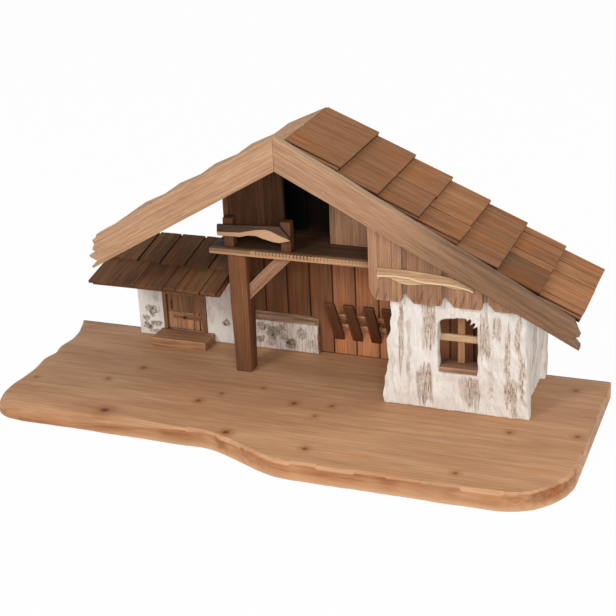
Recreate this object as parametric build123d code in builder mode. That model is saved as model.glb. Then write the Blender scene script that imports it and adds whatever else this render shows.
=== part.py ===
from build123d import *

import os
from math import cos, radians, sin, tan

# Wooden nativity stable. Millimetres. The origin is in the middle of the baseboard's underside, +X runs to
# the right along the front, +Y to the back and +Z up. Distances called depth or front are measured from the
# baseboard's straight back edge, and heights from its top face.

# Baseboard
base_length = 560.0
base_depth = 229.0
base_thickness = 18.0
base_step = 32.0
base_step_left = -54.0
base_step_right = 40.0
base_right_corner = 62.0
base_left_corner = 30.0
base_left_slope = 10.0
base_wave = 4.0
base_edge_chamfer = 1.5

# Back wall, with grooves that divide it into boards
wall_thickness = 10.6
groove_pitch = 23.6
groove_width = 1.8
groove_depth = 1.4
wall_shoulder = 2.0

# Main roof: the bargeboards' upper edges are the reference lines of both slopes
ridge_x = 3.0
ridge_height = 254.6
left_pitch = 29.8
right_pitch = 28.6
left_reach = 191.0
right_reach = 267.0
barge_front = 128.0
barge_thickness = 10.0
barge_ridge_cut = 30.4
barge_left_cut = 28.5
barge_right_cut = 22.3
barge_left_chamfer = 10.0
barge_right_chamfer = 5.5
barge_notch = 6.0
deck_thickness = 5.0
left_deck_drop = 12.5
right_deck_drop = 7.0
deck_back = 3.0

# Shingles of the main roof: wedges, thin at the upper end, each course resting on the one below it
shingle_length = 62.0
shingle_tip = 2.4
shingle_butt = 3.8
shingle_gap = 0.7
shingle_eave = 6.0
shingle_trim = 0.5
shingle_back = 0.8
right_courses = 7
left_courses = 5
right_first_course = 53.0
left_first_course = 42.5
right_exposure = 40.2
left_exposure = 45.8
ridge_lap = 2.9
eave_fillet = 20.0

# House
house_left = 87.0
house_right = 223.5
house_depth = 100.0
house_wall = 10.0
house_taper = 4.0
house_flare = 9.0
house_right_flare = 4.0
window_offset = 2.7
window_width = 36.0
window_bottom = 37.8
window_spring = 83.0
window_rise = 9.0
window_bar = 6.5
window_bar_depth = 4.0
window_bar_height = 65.0
window_bar_lap = 5.0
mullion_width = 6.5
sill_height = 4.6
sill_depth = 20.0
sill_setback = 2.0
sill_clearance = 0.4

# Gable above the house
gable_side_thickness = 6.0
cladding_thickness = 7.0
cladding_left = 79.5
cladding_setback = 4.5
cladding_bottom = 105.0
cladding_corner = 12.0
cladding_groove_pitch = 10.5
cladding_groove_width = 1.2
cladding_groove_depth = 0.8
scallop_first = 115.0
scallop_pitch = 36.0
scallop_count = 3
scallop_half = 7.0
scallop_rise = 9.0
trim_left = 88.0
trim_length = 87.0
trim_thickness = 3.0
trim_height = 125.0
trim_rise = 12.5

# Loft
loft_height = 122.5
loft_board = 5.5
loft_left = -88.0
loft_front = 78.0
loft_wall_front = 41.0
loft_wall_thickness = 6.0
loft_side_thickness = 5.5
loft_door_left = -26.0
loft_door_right = 20.0
rail_post_size = 10.0
rail_post_height = 29.0
rail_left_post = -75.0
rail_right_post = -17.5
rail_thickness = 4.5
rail_height = 11.1
rail_lift = 3.2
rail_bottom = 11.6
rail_overhang_left = 4.5
rail_overhang_right = 1.0
rail_wave = 3.0
rail_tip = 2.5
rail_setback = 1.5

# Post and knee brace under the loft
post_left = -71.0
post_size = 18.0
post_foot = 16.0
post_front = 74.5
brace_width = 11.5
brace_drop = 31.0
brace_thickness = 9.0
brace_setback = 4.5

# Stone plinth at the foot of the back wall
slab_thickness = 4.4
plinth_thickness = 6.0
plinth_right = -5.5
plinth_height = 31.0
plinth_cap = 8.0

# Hay rack on the back wall
rack_first_slat = 15.0
rack_pitch = 19.0
rack_slats = 4
rack_slat_width = 9.5
rack_slat_thickness = 3.5
rack_slat_length = 47.5
rack_lean = 28.0
rack_height = 23.0
rack_rail_width = 7.0
rack_rail_thickness = 3.0
rack_lower_rail = 6.4
rack_upper_rail = 22.0

# Lean-to with a two-part stable door
lean_left = -203.0
lean_right = -76.5
lean_roof_left = -212.5
lean_roof_right = -77.0
lean_roof_front = 92.0
lean_roof_back = 0.8
lean_pitch = 14.7
lean_height = 107.1
lean_deck_thickness = 4.0
lean_shingle_length = 55.0
lean_shingle_tip = 1.6
lean_shingle_butt = 2.6
lean_exposure = 40.4
lean_shingle_count = 5
lean_eave = 6.0
lean_eave_fillet = 14.0

# Door of the lean-to
door_left = -174.5
door_width = 48.0
door_bottom = 9.4
door_height = 42.6
frame_width = 4.0
frame_proud = 2.0
leaf_thickness = 3.0
leaf_setback = 0.1
leaf_clearance = 0.5
leaf_split = 18.6
leaf_gap = 0.6
hinge_clearance = 0.4
pin_diameter = 1.6
pin_running = 0.05
pin_seat = 3.0
ledge_height = 5.5
ledge_thickness = 1.6
ledge_below_top = 1.0
ledge_left_margin = 4.6
ledge_right_margin = 1.5
knob_diameter = 3.6
knob_neck = 1.8
knob_length = 3.4
step_left = -177.5
step_length = 59.5
step_depth = 26.0

# Worked-out places
back_y = base_depth / 2
left_x = -base_length / 2
right_x = base_length / 2
base_top = base_thickness
wall_y = back_y - wall_thickness
slab_y = wall_y - slab_thickness
house_y = back_y - house_depth
house_side_x = house_left + house_flare
window_centre = (house_left + house_right) / 2 + window_offset
cladding_right = house_right - cladding_setback
barge_y = back_y - barge_front
deck_y = barge_y + barge_thickness
loft_z = base_top + loft_height
loft_top = loft_z + loft_board
left_slope = tan(radians(left_pitch))
right_slope = tan(radians(right_pitch))
ridge_z = base_top + ridge_height

# The two decks meet a little to the right of the bargeboards' joint, because the left deck lies deeper
crest_shift = (left_deck_drop - right_deck_drop) / (left_slope + right_slope)
crest_x = ridge_x + crest_shift
crest_z = ridge_z - right_deck_drop - crest_shift * right_slope


def left_underside(x):
    """Height of the left deck's underside."""
    return crest_z - (crest_x - x) * left_slope - deck_thickness / cos(radians(left_pitch))


def right_underside(x):
    """Height of the right deck's underside."""
    return crest_z - (x - crest_x) * right_slope - deck_thickness / cos(radians(right_pitch))


def lean_top(y):
    """Height of the lean-to deck's upper face."""
    return base_top + lean_height - (back_y - y) * tan(radians(lean_pitch))


def save(builder, name):
    """Label a finished piece and write it."""
    builder.part.label = name
    export_step(builder.part, f"parts/{name}.step")


def block(x0, x1, y0, y1, z0, z1, mode=Mode.ADD):
    """Rectangular block between two corners."""
    with Locations(((x0 + x1) / 2, (y0 + y1) / 2, (z0 + z1) / 2)):
        Box(x1 - x0, y1 - y0, z1 - z0, mode=mode)


def front_plate(points, y_front, thickness, mode=Mode.ADD):
    """Plate with an outline seen from the front (X, Z), reaching back from its front face."""
    with BuildSketch(Plane.XZ.offset(-y_front)) as outline:
        with BuildLine():
            Polyline(*points, close=True)
        make_face()
    extrude(outline.sketch, amount=-thickness, mode=mode)


def side_plate(points, x_left, length, mode=Mode.ADD):
    """Bar with a section seen from the right end (Y, Z), reaching right from its left end."""
    with BuildSketch(Plane.YZ.offset(x_left)) as section:
        with BuildLine():
            Polyline(*points, close=True)
        make_face()
    extrude(section.sketch, amount=length, mode=mode)


def trim_under_roof():
    """Keep only what lies under the two roof decks."""
    far = base_length
    outline = [
        (-far, -far),
        (far, -far),
        (far, right_underside(far)),
        (crest_x, right_underside(crest_x)),
        (crest_x, left_underside(crest_x)),
        (-far, left_underside(-far)),
    ]
    front_plate(outline, -far, 2 * far, mode=Mode.INTERSECT)


def cut_grooves(places, y_front, width, depth):
    """Upright V-grooves in a front face."""
    for x in places:
        with BuildSketch(Plane.XY) as groove:
            with BuildLine():
                Polyline((x - width / 2, y_front), (x + width / 2, y_front), (x, y_front + depth), close=True)
            make_face()
        extrude(groove.sketch, amount=2 * ridge_z, mode=Mode.SUBTRACT)


def slope_plane(side, y):
    """Section plane of a roof slope: local X down the slope from the crest, local Y square to the deck."""
    pitch = radians(right_pitch if side == "right" else left_pitch)
    sign = 1 if side == "right" else -1
    return Plane(
        origin=(crest_x, y, crest_z),
        x_dir=(sign * cos(pitch), 0, -sin(pitch)),
        z_dir=(0, -sign, 0),
    )


def slope_bar(side, points, y_back, width):
    """Bar with a section on a roof slope, reaching from its back end to the front."""
    sign = 1 if side == "right" else -1
    with BuildSketch(slope_plane(side, y_back)) as section:
        with BuildLine():
            Polyline(*points, close=True)
        make_face()
    extrude(section.sketch, amount=sign * width)


def wedge_rise(length, exposure, tip, butt):
    """Slope of a shingle's underside against the deck, so that it rests on the course below."""
    return (tip + (butt - tip) * (length - exposure) / length) / exposure


def wedge_section(lower, upper, full_lower, length, exposure, tip, butt):
    """Section of a shingle between its ends, with its place along the slope."""
    rise = wedge_rise(length, exposure, tip, butt)
    taper = (butt - tip) / length
    head = full_lower - length
    return [
        (upper, rise * (upper - head)),
        (lower, rise * (lower - head)),
        (lower, tip + (rise + taper) * (lower - head)),
        (upper, tip + (rise + taper) * (upper - head)),
    ]


os.makedirs("parts", exist_ok=True)

# Baseboard: straight back and right edges, wavy left edge, S-shaped step in the front edge
step_y = -back_y + base_step
with BuildPart() as baseboard:
    with BuildSketch():
        with BuildLine():
            back_edge = Line((right_x, back_y), (left_x, back_y))
            wavy_edge = Spline(
                back_edge @ 1,
                (left_x + base_wave, back_y - base_depth * 0.2),
                (left_x + base_wave * 0.4, back_y - base_depth * 0.4),
                (left_x + base_left_slope * 0.7, back_y - base_depth * 0.55),
                (left_x + base_left_slope, step_y + base_left_corner),
                tangents=[(base_wave / base_left_corner, -1), (0, -1)],
            )
            left_corner = RadiusArc(
                wavy_edge @ 1,
                (left_x + base_left_slope + base_left_corner, step_y),
                -base_left_corner,
            )
            left_front = Line(left_corner @ 1, (base_step_left, step_y))
            front_step = Spline(
                left_front @ 1,
                (base_step_right, -back_y),
                tangents=[(1, 0), (1, 0)],
            )
            right_front = Line(front_step @ 1, (right_x - base_right_corner, -back_y))
            right_corner = RadiusArc(
                right_front @ 1,
                (right_x, -back_y + base_right_corner),
                -base_right_corner,
            )
            Line(right_corner @ 1, back_edge @ 0)
        make_face()
    extrude(amount=base_thickness)
    top_edges = baseboard.faces().sort_by(Axis.Z)[-1].edges()
    carved_edges = top_edges.sort_by(Axis.Y)[:-1]
    chamfer(carved_edges, length=base_edge_chamfer)
save(baseboard, "baseboard")

# Back wall: grooved panel up to the roof, with a shoulder over the end of the lean-to's roof
shoulder_z = lean_top(back_y) + lean_shingle_butt + wall_shoulder
with BuildPart() as back_wall:
    block(loft_left, house_right - house_taper, wall_y, back_y, base_top, ridge_z)
    block(loft_left, lean_right, wall_y, back_y, base_top, shoulder_z, mode=Mode.SUBTRACT)
    trim_under_roof()
    groove_count = int((house_left - lean_right) / groove_pitch)
    cut_grooves(
        [house_left - groove_pitch * (i + 0.3) for i in range(groove_count)],
        wall_y,
        groove_width,
        groove_depth,
    )
save(back_wall, "back_wall")

# Roof decks, with a raised fillet at the eave that tilts the lowest course
eave_ends = {
    "right": right_first_course + right_exposure * (right_courses - 1),
    "left": left_first_course + left_exposure * (left_courses - 1),
}
exposures = {"right": right_exposure, "left": left_exposure}
pitches = {"right": right_pitch, "left": left_pitch}
for side in ("left", "right"):
    deck_end = eave_ends[side] - shingle_eave
    rise = wedge_rise(shingle_length, exposures[side], shingle_tip, shingle_butt)
    with BuildPart() as roof_deck:
        deck_section = [
            (0, 0),
            (deck_end - eave_fillet, 0),
            (deck_end, rise * (shingle_length - shingle_eave)),
            (deck_end, -deck_thickness),
            (deck_thickness * tan(radians(pitches[side])), -deck_thickness),
        ]
        slope_bar(side, deck_section, back_y - deck_back, back_y - deck_back - deck_y)
    save(roof_deck, f"roof_deck_{side}")

# Bargeboards with fishtail ends
ridge_cut_z = ridge_z - barge_ridge_cut
left_tip = ridge_x - left_reach
left_tip_top = ridge_z - left_reach * left_slope
left_tip_low = left_tip_top - barge_left_cut
with BuildPart() as bargeboard_left:
    left_outline = [
        (ridge_x, ridge_z),
        (ridge_x, ridge_cut_z),
        (left_tip, left_tip_low),
        (left_tip, left_tip_low + barge_left_cut * 0.2),
        (left_tip + barge_notch, left_tip_low + barge_left_cut * 0.38),
        (left_tip, left_tip_low + barge_left_cut * 0.52),
        (left_tip + barge_left_chamfer, left_tip_top + barge_left_chamfer * left_slope),
    ]
    front_plate(left_outline, barge_y, barge_thickness)
save(bargeboard_left, "bargeboard_left")

right_tip = ridge_x + right_reach
right_tip_top = ridge_z - right_reach * right_slope
right_tip_low = right_tip_top - barge_right_cut
with BuildPart() as bargeboard_right:
    right_outline = [
        (ridge_x, ridge_z),
        (right_tip - barge_right_chamfer, right_tip_top + barge_right_chamfer * right_slope),
        (right_tip, right_tip_low + barge_right_cut * 0.56),
        (right_tip - barge_notch, right_tip_low + barge_right_cut * 0.5),
        (right_tip, right_tip_low + barge_right_cut * 0.15),
        (right_tip, right_tip_low),
        (ridge_x, ridge_cut_z),
    ]
    front_plate(right_outline, barge_y, barge_thickness)
save(bargeboard_right, "bargeboard_right")

# Shingle courses: the seams are distances from the roof's back edge
right_seams = [[], [], [58.0], [74.0], [], [14.0, 54.0, 68.0], [27.0, 51.5, 99.7]]
left_seams = [[62.0], [35.0, 88.0], [70.0], [28.0, 80.0], [45.0, 90.0]]
shingle_span = barge_front - barge_thickness - shingle_back - shingle_trim


def lay_course(side, lower, upper, exposure, seams):
    """Shingles of one course, side by side, with slightly uneven lower and front ends."""
    cuts = [0.0] + seams + [shingle_span]
    for i in range(len(cuts) - 1):
        uneven = shingle_trim * ((3 * i + int(lower)) % 4)
        section = wedge_section(
            lower - uneven, upper, lower, shingle_length, exposure, shingle_tip, shingle_butt
        )
        slope_bar(
            side,
            section,
            back_y - shingle_back - cuts[i],
            cuts[i + 1] - cuts[i] - shingle_gap,
        )


for course in range(right_courses):
    lower_end = right_first_course + right_exposure * course
    upper_end = max(lower_end - shingle_length, ridge_lap + shingle_gap)
    with BuildPart() as right_course:
        lay_course("right", lower_end, upper_end, right_exposure, right_seams[course % len(right_seams)])
    save(right_course, f"shingle_course_right_{course + 1}")

for course in range(left_courses):
    lower_end = left_first_course + left_exposure * course
    upper_end = max(lower_end - shingle_length, -ridge_lap)
    with BuildPart() as left_course:
        lay_course("left", lower_end, upper_end, left_exposure, left_seams[course % len(left_seams)])
    save(left_course, f"shingle_course_left_{course + 1}")

# House walls: the front wall with an arched window, the right wall, the left wall under the loft floor
with BuildPart() as house_front_wall:
    front_outline = [
        (house_left, base_top),
        (house_right, base_top),
        (house_right - house_right_flare, loft_z),
        (house_side_x, loft_z),
    ]
    front_plate(front_outline, house_y, house_wall)
    trim_under_roof()
    with BuildSketch(Plane.XZ.offset(-house_y)):
        with BuildLine():
            half = window_width / 2
            left_jamb = Line(
                (window_centre - half, base_top + window_spring),
                (window_centre - half, base_top + window_bottom),
            )
            foot = Line(left_jamb @ 1, (window_centre + half, base_top + window_bottom))
            right_jamb = Line(foot @ 1, (window_centre + half, base_top + window_spring))
            ThreePointArc(
                right_jamb @ 1,
                (window_centre, base_top + window_spring + window_rise),
                left_jamb @ 0,
            )
        make_face()
    extrude(amount=-house_wall, mode=Mode.SUBTRACT)
save(house_front_wall, "house_front_wall")

house_inner_y = house_y + house_wall
with BuildPart() as house_right_wall:
    with BuildSketch(Plane.XY.offset(base_top)):
        with BuildLine():
            Polyline(
                (house_right - house_right_flare - house_wall, house_inner_y),
                (house_right - house_right_flare, house_inner_y),
                (house_right - house_taper, wall_y),
                (house_right - house_taper - house_wall, wall_y),
                close=True,
            )
        make_face()
    extrude(amount=ridge_height)
    trim_under_roof()
save(house_right_wall, "house_right_wall")

with BuildPart() as house_left_wall:
    block(house_side_x, house_side_x + house_wall, house_inner_y, wall_y, base_top, loft_z)
save(house_left_wall, "house_left_wall")

# Window bars and the sill board inside the opening
bar_y = house_inner_y
bar_z = base_top + window_bar_height
with BuildPart() as window_cross_bar:
    block(
        window_centre - window_width / 2 - window_bar_lap,
        window_centre + window_width / 2 + window_bar_lap,
        bar_y,
        bar_y + window_bar_depth,
        bar_z,
        bar_z + window_bar,
    )
save(window_cross_bar, "window_cross_bar")

with BuildPart() as window_mullion:
    block(
        window_centre - mullion_width / 2,
        window_centre + mullion_width / 2,
        bar_y + window_bar_depth,
        bar_y + 2 * window_bar_depth,
        base_top + window_bottom + sill_height,
        base_top + window_spring + window_rise,
    )
save(window_mullion, "window_mullion")

with BuildPart() as window_sill:
    block(
        window_centre - window_width / 2 + sill_clearance,
        window_centre + window_width / 2 - sill_clearance,
        house_y + sill_setback,
        house_y + sill_setback + sill_depth,
        base_top + window_bottom,
        base_top + window_bottom + sill_height,
    )
save(window_sill, "window_sill")

# Gable: side wall over the house's left wall, let in over the loft floor
loft_y = back_y - loft_front
with BuildPart() as gable_side_wall:
    side_outline = [
        (house_y, loft_z),
        (loft_y, loft_z),
        (loft_y, loft_top),
        (wall_y, loft_top),
        (wall_y, ridge_z),
        (house_y, ridge_z),
    ]
    side_plate(side_outline, house_left, gable_side_thickness)
    trim_under_roof()
save(gable_side_wall, "gable_side_wall")

# Gable cladding: grooved panel with a scalloped lower edge
cladding_y = house_y - cladding_thickness
cladding_z = base_top + cladding_bottom
with BuildPart() as gable_cladding:
    lower_edge = [
        (cladding_left, cladding_z + cladding_corner),
        (cladding_left + cladding_corner / 2, cladding_z),
    ]
    for i in range(scallop_count):
        notch_x = scallop_first + scallop_pitch * i
        lower_edge += [
            (notch_x - scallop_half, cladding_z),
            (notch_x, cladding_z + scallop_rise),
            (notch_x + scallop_half, cladding_z),
        ]
    lower_edge += [(cladding_right, cladding_z), (cladding_right, ridge_z), (cladding_left, ridge_z)]
    front_plate(lower_edge, cladding_y, cladding_thickness)
    trim_under_roof()
    cladding_grooves = int((cladding_right - cladding_left) / cladding_groove_pitch)
    cut_grooves(
        [cladding_left + cladding_groove_pitch * (i + 1) for i in range(cladding_grooves)],
        cladding_y,
        cladding_groove_width,
        cladding_groove_depth,
    )
save(gable_cladding, "gable_cladding")

with BuildPart() as gable_trim:
    trim_z = base_top + trim_height
    trim_right = trim_left + trim_length
    with BuildSketch(Plane.XZ.offset(-cladding_y + trim_thickness)):
        with BuildLine():
            upper_edge = Spline(
                (trim_left, trim_z + trim_rise),
                (trim_left + trim_length * 0.55, trim_z + trim_rise * 0.95),
                (trim_right, trim_z + trim_rise * 0.2),
            )
            trim_end = Line(upper_edge @ 1, (trim_right, trim_z))
            lower_wave = Spline(
                trim_end @ 1,
                (trim_left + trim_length * 0.47, trim_z + trim_rise * 0.25),
                (trim_left + trim_length * 0.28, trim_z),
                (trim_left, trim_z + trim_rise * 0.35),
            )
            Line(lower_wave @ 1, upper_edge @ 0)
        make_face()
    extrude(amount=-trim_thickness)
save(gable_trim, "gable_trim")

# Loft floor, carried by the post, the house's left wall and the back wall
with BuildPart() as loft_floor:
    block(loft_left, house_side_x + house_wall, loft_y, wall_y, loft_z, loft_top)
save(loft_floor, "loft_floor")

# Loft walls: two front panels beside the doorway, and the left side wall
loft_wall_y = back_y - loft_wall_front
panels = {
    "loft_wall_left": (loft_left + loft_side_thickness, loft_door_left),
    "loft_wall_right": (loft_door_right, house_left),
}
for name, (panel_left, panel_right) in panels.items():
    with BuildPart() as loft_panel:
        block(panel_left, panel_right, loft_wall_y, loft_wall_y + loft_wall_thickness, loft_top, ridge_z)
        trim_under_roof()
    save(loft_panel, name)

with BuildPart() as loft_side_wall:
    block(loft_left, loft_left + loft_side_thickness, loft_wall_y, wall_y, loft_top, ridge_z)
    trim_under_roof()
save(loft_side_wall, "loft_side_wall")

# Loft rail with a carved wavy lower edge, rising a little to the right, on the front of two posts
rail_post_y = loft_y + rail_setback + rail_thickness
rail_posts = {"loft_rail_post_left": rail_left_post, "loft_rail_post_right": rail_right_post}
for name, post_x in rail_posts.items():
    with BuildPart() as rail_post:
        block(
            post_x,
            post_x + rail_post_size,
            rail_post_y,
            rail_post_y + rail_post_size,
            loft_top,
            loft_top + rail_post_height,
        )
    save(rail_post, name)

rail_x0 = rail_left_post - rail_overhang_left
rail_x1 = rail_right_post + rail_post_size + rail_overhang_right
with BuildPart() as loft_rail:
    rail_z = loft_top + rail_bottom
    rail_length = rail_x1 - rail_x0
    with BuildSketch(Plane.XZ.offset(-rail_post_y + rail_thickness)):
        with BuildLine():
            rail_wave_edge = Spline(
                (rail_x0, rail_z),
                (rail_x0 + rail_length * 0.2, rail_z),
                (rail_x0 + rail_length * 0.48, rail_z + rail_wave),
                (rail_x0 + rail_length * 0.8, rail_z - rail_wave * 0.65),
                (rail_x1, rail_z + rail_wave * 0.2),
            )
            Polyline(
                rail_wave_edge @ 1,
                (rail_x1, rail_z + rail_tip),
                (rail_x0 + rail_length * 0.86, rail_z + rail_height + rail_lift),
                (rail_x0, rail_z + rail_height),
                rail_wave_edge @ 0,
            )
        make_face()
    extrude(amount=-rail_thickness)
save(loft_rail, "loft_rail")

# Front post, slimmer at the foot, and the knee brace from its right face to the loft floor
post_y = back_y - post_front
post_x = post_left + post_size / 2
with BuildPart() as front_post:
    with BuildSketch(Plane.XY.offset(base_top)):
        with Locations((post_x, post_y + post_size / 2)):
            Rectangle(post_foot, post_foot)
    with BuildSketch(Plane.XY.offset(loft_z - brace_drop - 2 * brace_width)):
        with Locations((post_x, post_y + post_size / 2)):
            Rectangle(post_size, post_size)
    loft()
    block(
        post_left,
        post_left + post_size,
        post_y,
        post_y + post_size,
        loft_z - brace_drop - 2 * brace_width,
        loft_z,
    )
save(front_post, "front_post")

brace_x = post_left + post_size
brace_cut = brace_width / cos(radians(45))
with BuildPart() as knee_brace:
    brace_outline = [
        (brace_x, loft_z - brace_drop),
        (brace_x, loft_z - brace_drop - brace_cut),
        (brace_x + brace_drop + brace_cut, loft_z),
        (brace_x + brace_drop, loft_z),
    ]
    front_plate(brace_outline, post_y + brace_setback, brace_thickness)
save(knee_brace, "knee_brace")

# Stone plinth with a sloped cap
with BuildPart() as plinth:
    plinth_section = [
        (wall_y - plinth_thickness, base_top),
        (wall_y, base_top),
        (wall_y, base_top + plinth_height + plinth_cap),
        (wall_y - plinth_thickness, base_top + plinth_height),
    ]
    side_plate(plinth_section, lean_right, plinth_right - lean_right)
save(plinth, "plinth")

# Hay rack: slats that lean out from the wall on a plumb foot cut, and two rails behind them
lean_out = sin(radians(rack_lean))
lean_up = cos(radians(rack_lean))
rack_z = base_top + rack_height


def rack_point(along, out):
    """Point of the rack's section: along the slats from their foot, and out from their back face."""
    return (wall_y - along * lean_out - out * lean_up, rack_z + along * lean_up - out * lean_out)


slat_foot = rack_slat_thickness * lean_up / lean_out
with BuildPart() as hay_rack_slats:
    slat_section = [
        rack_point(0, 0),
        rack_point(rack_slat_length, 0),
        rack_point(rack_slat_length, rack_slat_thickness),
        rack_point(-slat_foot, rack_slat_thickness),
    ]
    for i in range(rack_slats):
        side_plate(slat_section, rack_first_slat + rack_pitch * i - rack_slat_width / 2, rack_slat_width)
save(hay_rack_slats, "hay_rack_slats")

with BuildPart() as hay_rack_rails:
    rails_left = rack_first_slat - rack_slat_width / 2
    for rail_at in (rack_lower_rail, rack_upper_rail):
        rail_section = [
            rack_point(rail_at, 0),
            rack_point(rail_at + rack_rail_width, 0),
            rack_point(rail_at + rack_rail_width, -rack_rail_thickness),
            rack_point(rail_at, -rack_rail_thickness),
        ]
        side_plate(rail_section, rails_left, house_side_x - rails_left)
save(hay_rack_rails, "hay_rack_rails")

# Lean-to walls: back panel and front slab, cut to the slope of the deck above them
lean_cut = lean_deck_thickness / cos(radians(lean_pitch))
with BuildPart() as lean_to_back_panel:
    panel_section = [
        (wall_y, base_top),
        (back_y, base_top),
        (back_y, lean_top(back_y) - lean_cut),
        (wall_y, lean_top(wall_y) - lean_cut),
    ]
    side_plate(panel_section, lean_left, lean_right - lean_left)
save(lean_to_back_panel, "lean_to_back_panel")

door_z = base_top + door_bottom
door_right = door_left + door_width
pin_x = door_left + frame_width + hinge_clearance + leaf_thickness / 2
pin_y = slab_y + leaf_setback + leaf_thickness / 2
with BuildPart() as lean_to_front_wall:
    slab_section = [
        (slab_y, base_top),
        (wall_y, base_top),
        (wall_y, lean_top(wall_y) - lean_cut),
        (slab_y, lean_top(slab_y) - lean_cut),
    ]
    side_plate(slab_section, lean_left, lean_right - lean_left)
    block(door_left, door_right, slab_y, wall_y, door_z, door_z + door_height, mode=Mode.SUBTRACT)
    with Locations((pin_x, pin_y, door_z - pin_seat / 2)):
        Cylinder(pin_diameter / 2, pin_seat, mode=Mode.SUBTRACT)
save(lean_to_front_wall, "lean_to_front_wall")

# Lean-to roof: deck with an eave fillet, and two courses of shingles
lean_cos = cos(radians(lean_pitch))
lean_sin = sin(radians(lean_pitch))
lean_run = lean_roof_front / lean_cos
lean_lower_ends = [lean_run - lean_exposure, lean_run]


def lean_point(along, out):
    """Point of the lean-to roof's section: down the slope from its back edge, and out from the deck."""
    return (
        back_y - along * lean_cos - out * lean_sin,
        base_top + lean_height - along * lean_sin + out * lean_cos,
    )


lean_rise = wedge_rise(lean_shingle_length, lean_exposure, lean_shingle_tip, lean_shingle_butt)
with BuildPart() as lean_to_roof_deck:
    lean_deck_end = lean_run - lean_eave
    deck_points = [
        (lean_roof_back, 0),
        (lean_deck_end - lean_eave_fillet, 0),
        (lean_deck_end, lean_rise * (lean_shingle_length - lean_eave)),
        (lean_deck_end, -lean_deck_thickness),
        (lean_roof_back + lean_deck_thickness * lean_sin / lean_cos, -lean_deck_thickness),
    ]
    side_plate([lean_point(*p) for p in deck_points], lean_roof_left, lean_roof_right - lean_roof_left)
save(lean_to_roof_deck, "lean_to_roof_deck")

lean_shingle_width = (lean_roof_right - lean_roof_left) / lean_shingle_count
for name, lower_end in zip(("upper", "lower"), lean_lower_ends):
    with BuildPart() as lean_course:
        upper_end = max(lower_end - lean_shingle_length, lean_roof_back)
        for i in range(lean_shingle_count):
            uneven = shingle_trim * ((2 * i + int(lower_end)) % 3)
            section = wedge_section(
                lower_end - uneven,
                upper_end,
                lower_end,
                lean_shingle_length,
                lean_exposure,
                lean_shingle_tip,
                lean_shingle_butt,
            )
            side_plate(
                [lean_point(*p) for p in section],
                lean_roof_left + lean_shingle_width * i,
                lean_shingle_width - shingle_gap,
            )
    save(lean_course, f"lean_to_shingles_{name}")

# Doorstep
with BuildPart() as door_step:
    block(step_left, step_left + step_length, slab_y - step_depth, slab_y, base_top, door_z)
save(door_step, "door_step")

# Door frame in the opening, standing proud of the wall, with a seat for the hinge pin in its lintel
frame_y = slab_y - frame_proud
lintel_z = door_z + door_height - frame_width
with BuildPart() as door_frame:
    block(door_left, door_right, frame_y, wall_y, door_z, door_z + door_height)
    block(
        door_left + frame_width,
        door_right - frame_width,
        frame_y,
        wall_y,
        door_z,
        lintel_z,
        mode=Mode.SUBTRACT,
    )
    with Locations((pin_x, pin_y, lintel_z + pin_seat / 2)):
        Cylinder(pin_diameter / 2, pin_seat, mode=Mode.SUBTRACT)
save(door_frame, "door_frame")

with BuildPart() as door_hinge_pin:
    with Locations((pin_x, pin_y, (door_z + lintel_z) / 2)):
        Cylinder(pin_diameter / 2, lintel_z - door_z + 2 * pin_seat)
save(door_hinge_pin, "door_hinge_pin")

# Door leaves: rounded round the pin at the hinge side
leaf_right = door_right - frame_width - leaf_clearance
leaf_front = slab_y + leaf_setback
split_z = door_z + leaf_split
leaves = {
    "door_lower_leaf": (door_z + leaf_gap, split_z),
    "door_upper_leaf": (split_z + leaf_gap, lintel_z - leaf_gap),
}
for name, (leaf_z0, leaf_z1) in leaves.items():
    with BuildPart() as door_leaf:
        block(pin_x, leaf_right, leaf_front, leaf_front + leaf_thickness, leaf_z0, leaf_z1)
        with Locations((pin_x, pin_y, (leaf_z0 + leaf_z1) / 2)):
            Cylinder(leaf_thickness / 2, leaf_z1 - leaf_z0)
            Cylinder(pin_diameter / 2 + pin_running, leaf_z1 - leaf_z0, mode=Mode.SUBTRACT)
    save(door_leaf, name)

ledge_z = split_z - ledge_below_top - ledge_height
ledge_y = leaf_front - ledge_thickness
with BuildPart() as door_ledge:
    block(
        pin_x + ledge_left_margin,
        leaf_right - ledge_right_margin,
        ledge_y,
        leaf_front,
        ledge_z,
        ledge_z + ledge_height,
    )
save(door_ledge, "door_ledge")

# Turned knob on the ledge
knob_x = (pin_x + leaf_right) / 2
knob_z = ledge_z + ledge_height / 2
with BuildPart() as door_knob:
    with BuildSketch(Plane.YZ.offset(knob_x)):
        with BuildLine():
            Polyline(
                (ledge_y, knob_z),
                (ledge_y, knob_z + knob_neck / 2),
                (ledge_y - knob_length / 3, knob_z + knob_neck / 2),
                (ledge_y - knob_length / 3, knob_z + knob_diameter / 2),
                (ledge_y - knob_length * 0.75, knob_z + knob_diameter / 2),
                (ledge_y - knob_length, knob_z + knob_diameter / 4),
                (ledge_y - knob_length, knob_z),
                close=True,
            )
        make_face()
    revolve(axis=Axis((knob_x, ledge_y, knob_z), (0, 1, 0)))
save(door_knob, "door_knob")
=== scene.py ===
from math import atan, cos, pi, radians, sin, tan

import bpy
import numpy as np
from mathutils import Matrix, Vector


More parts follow.
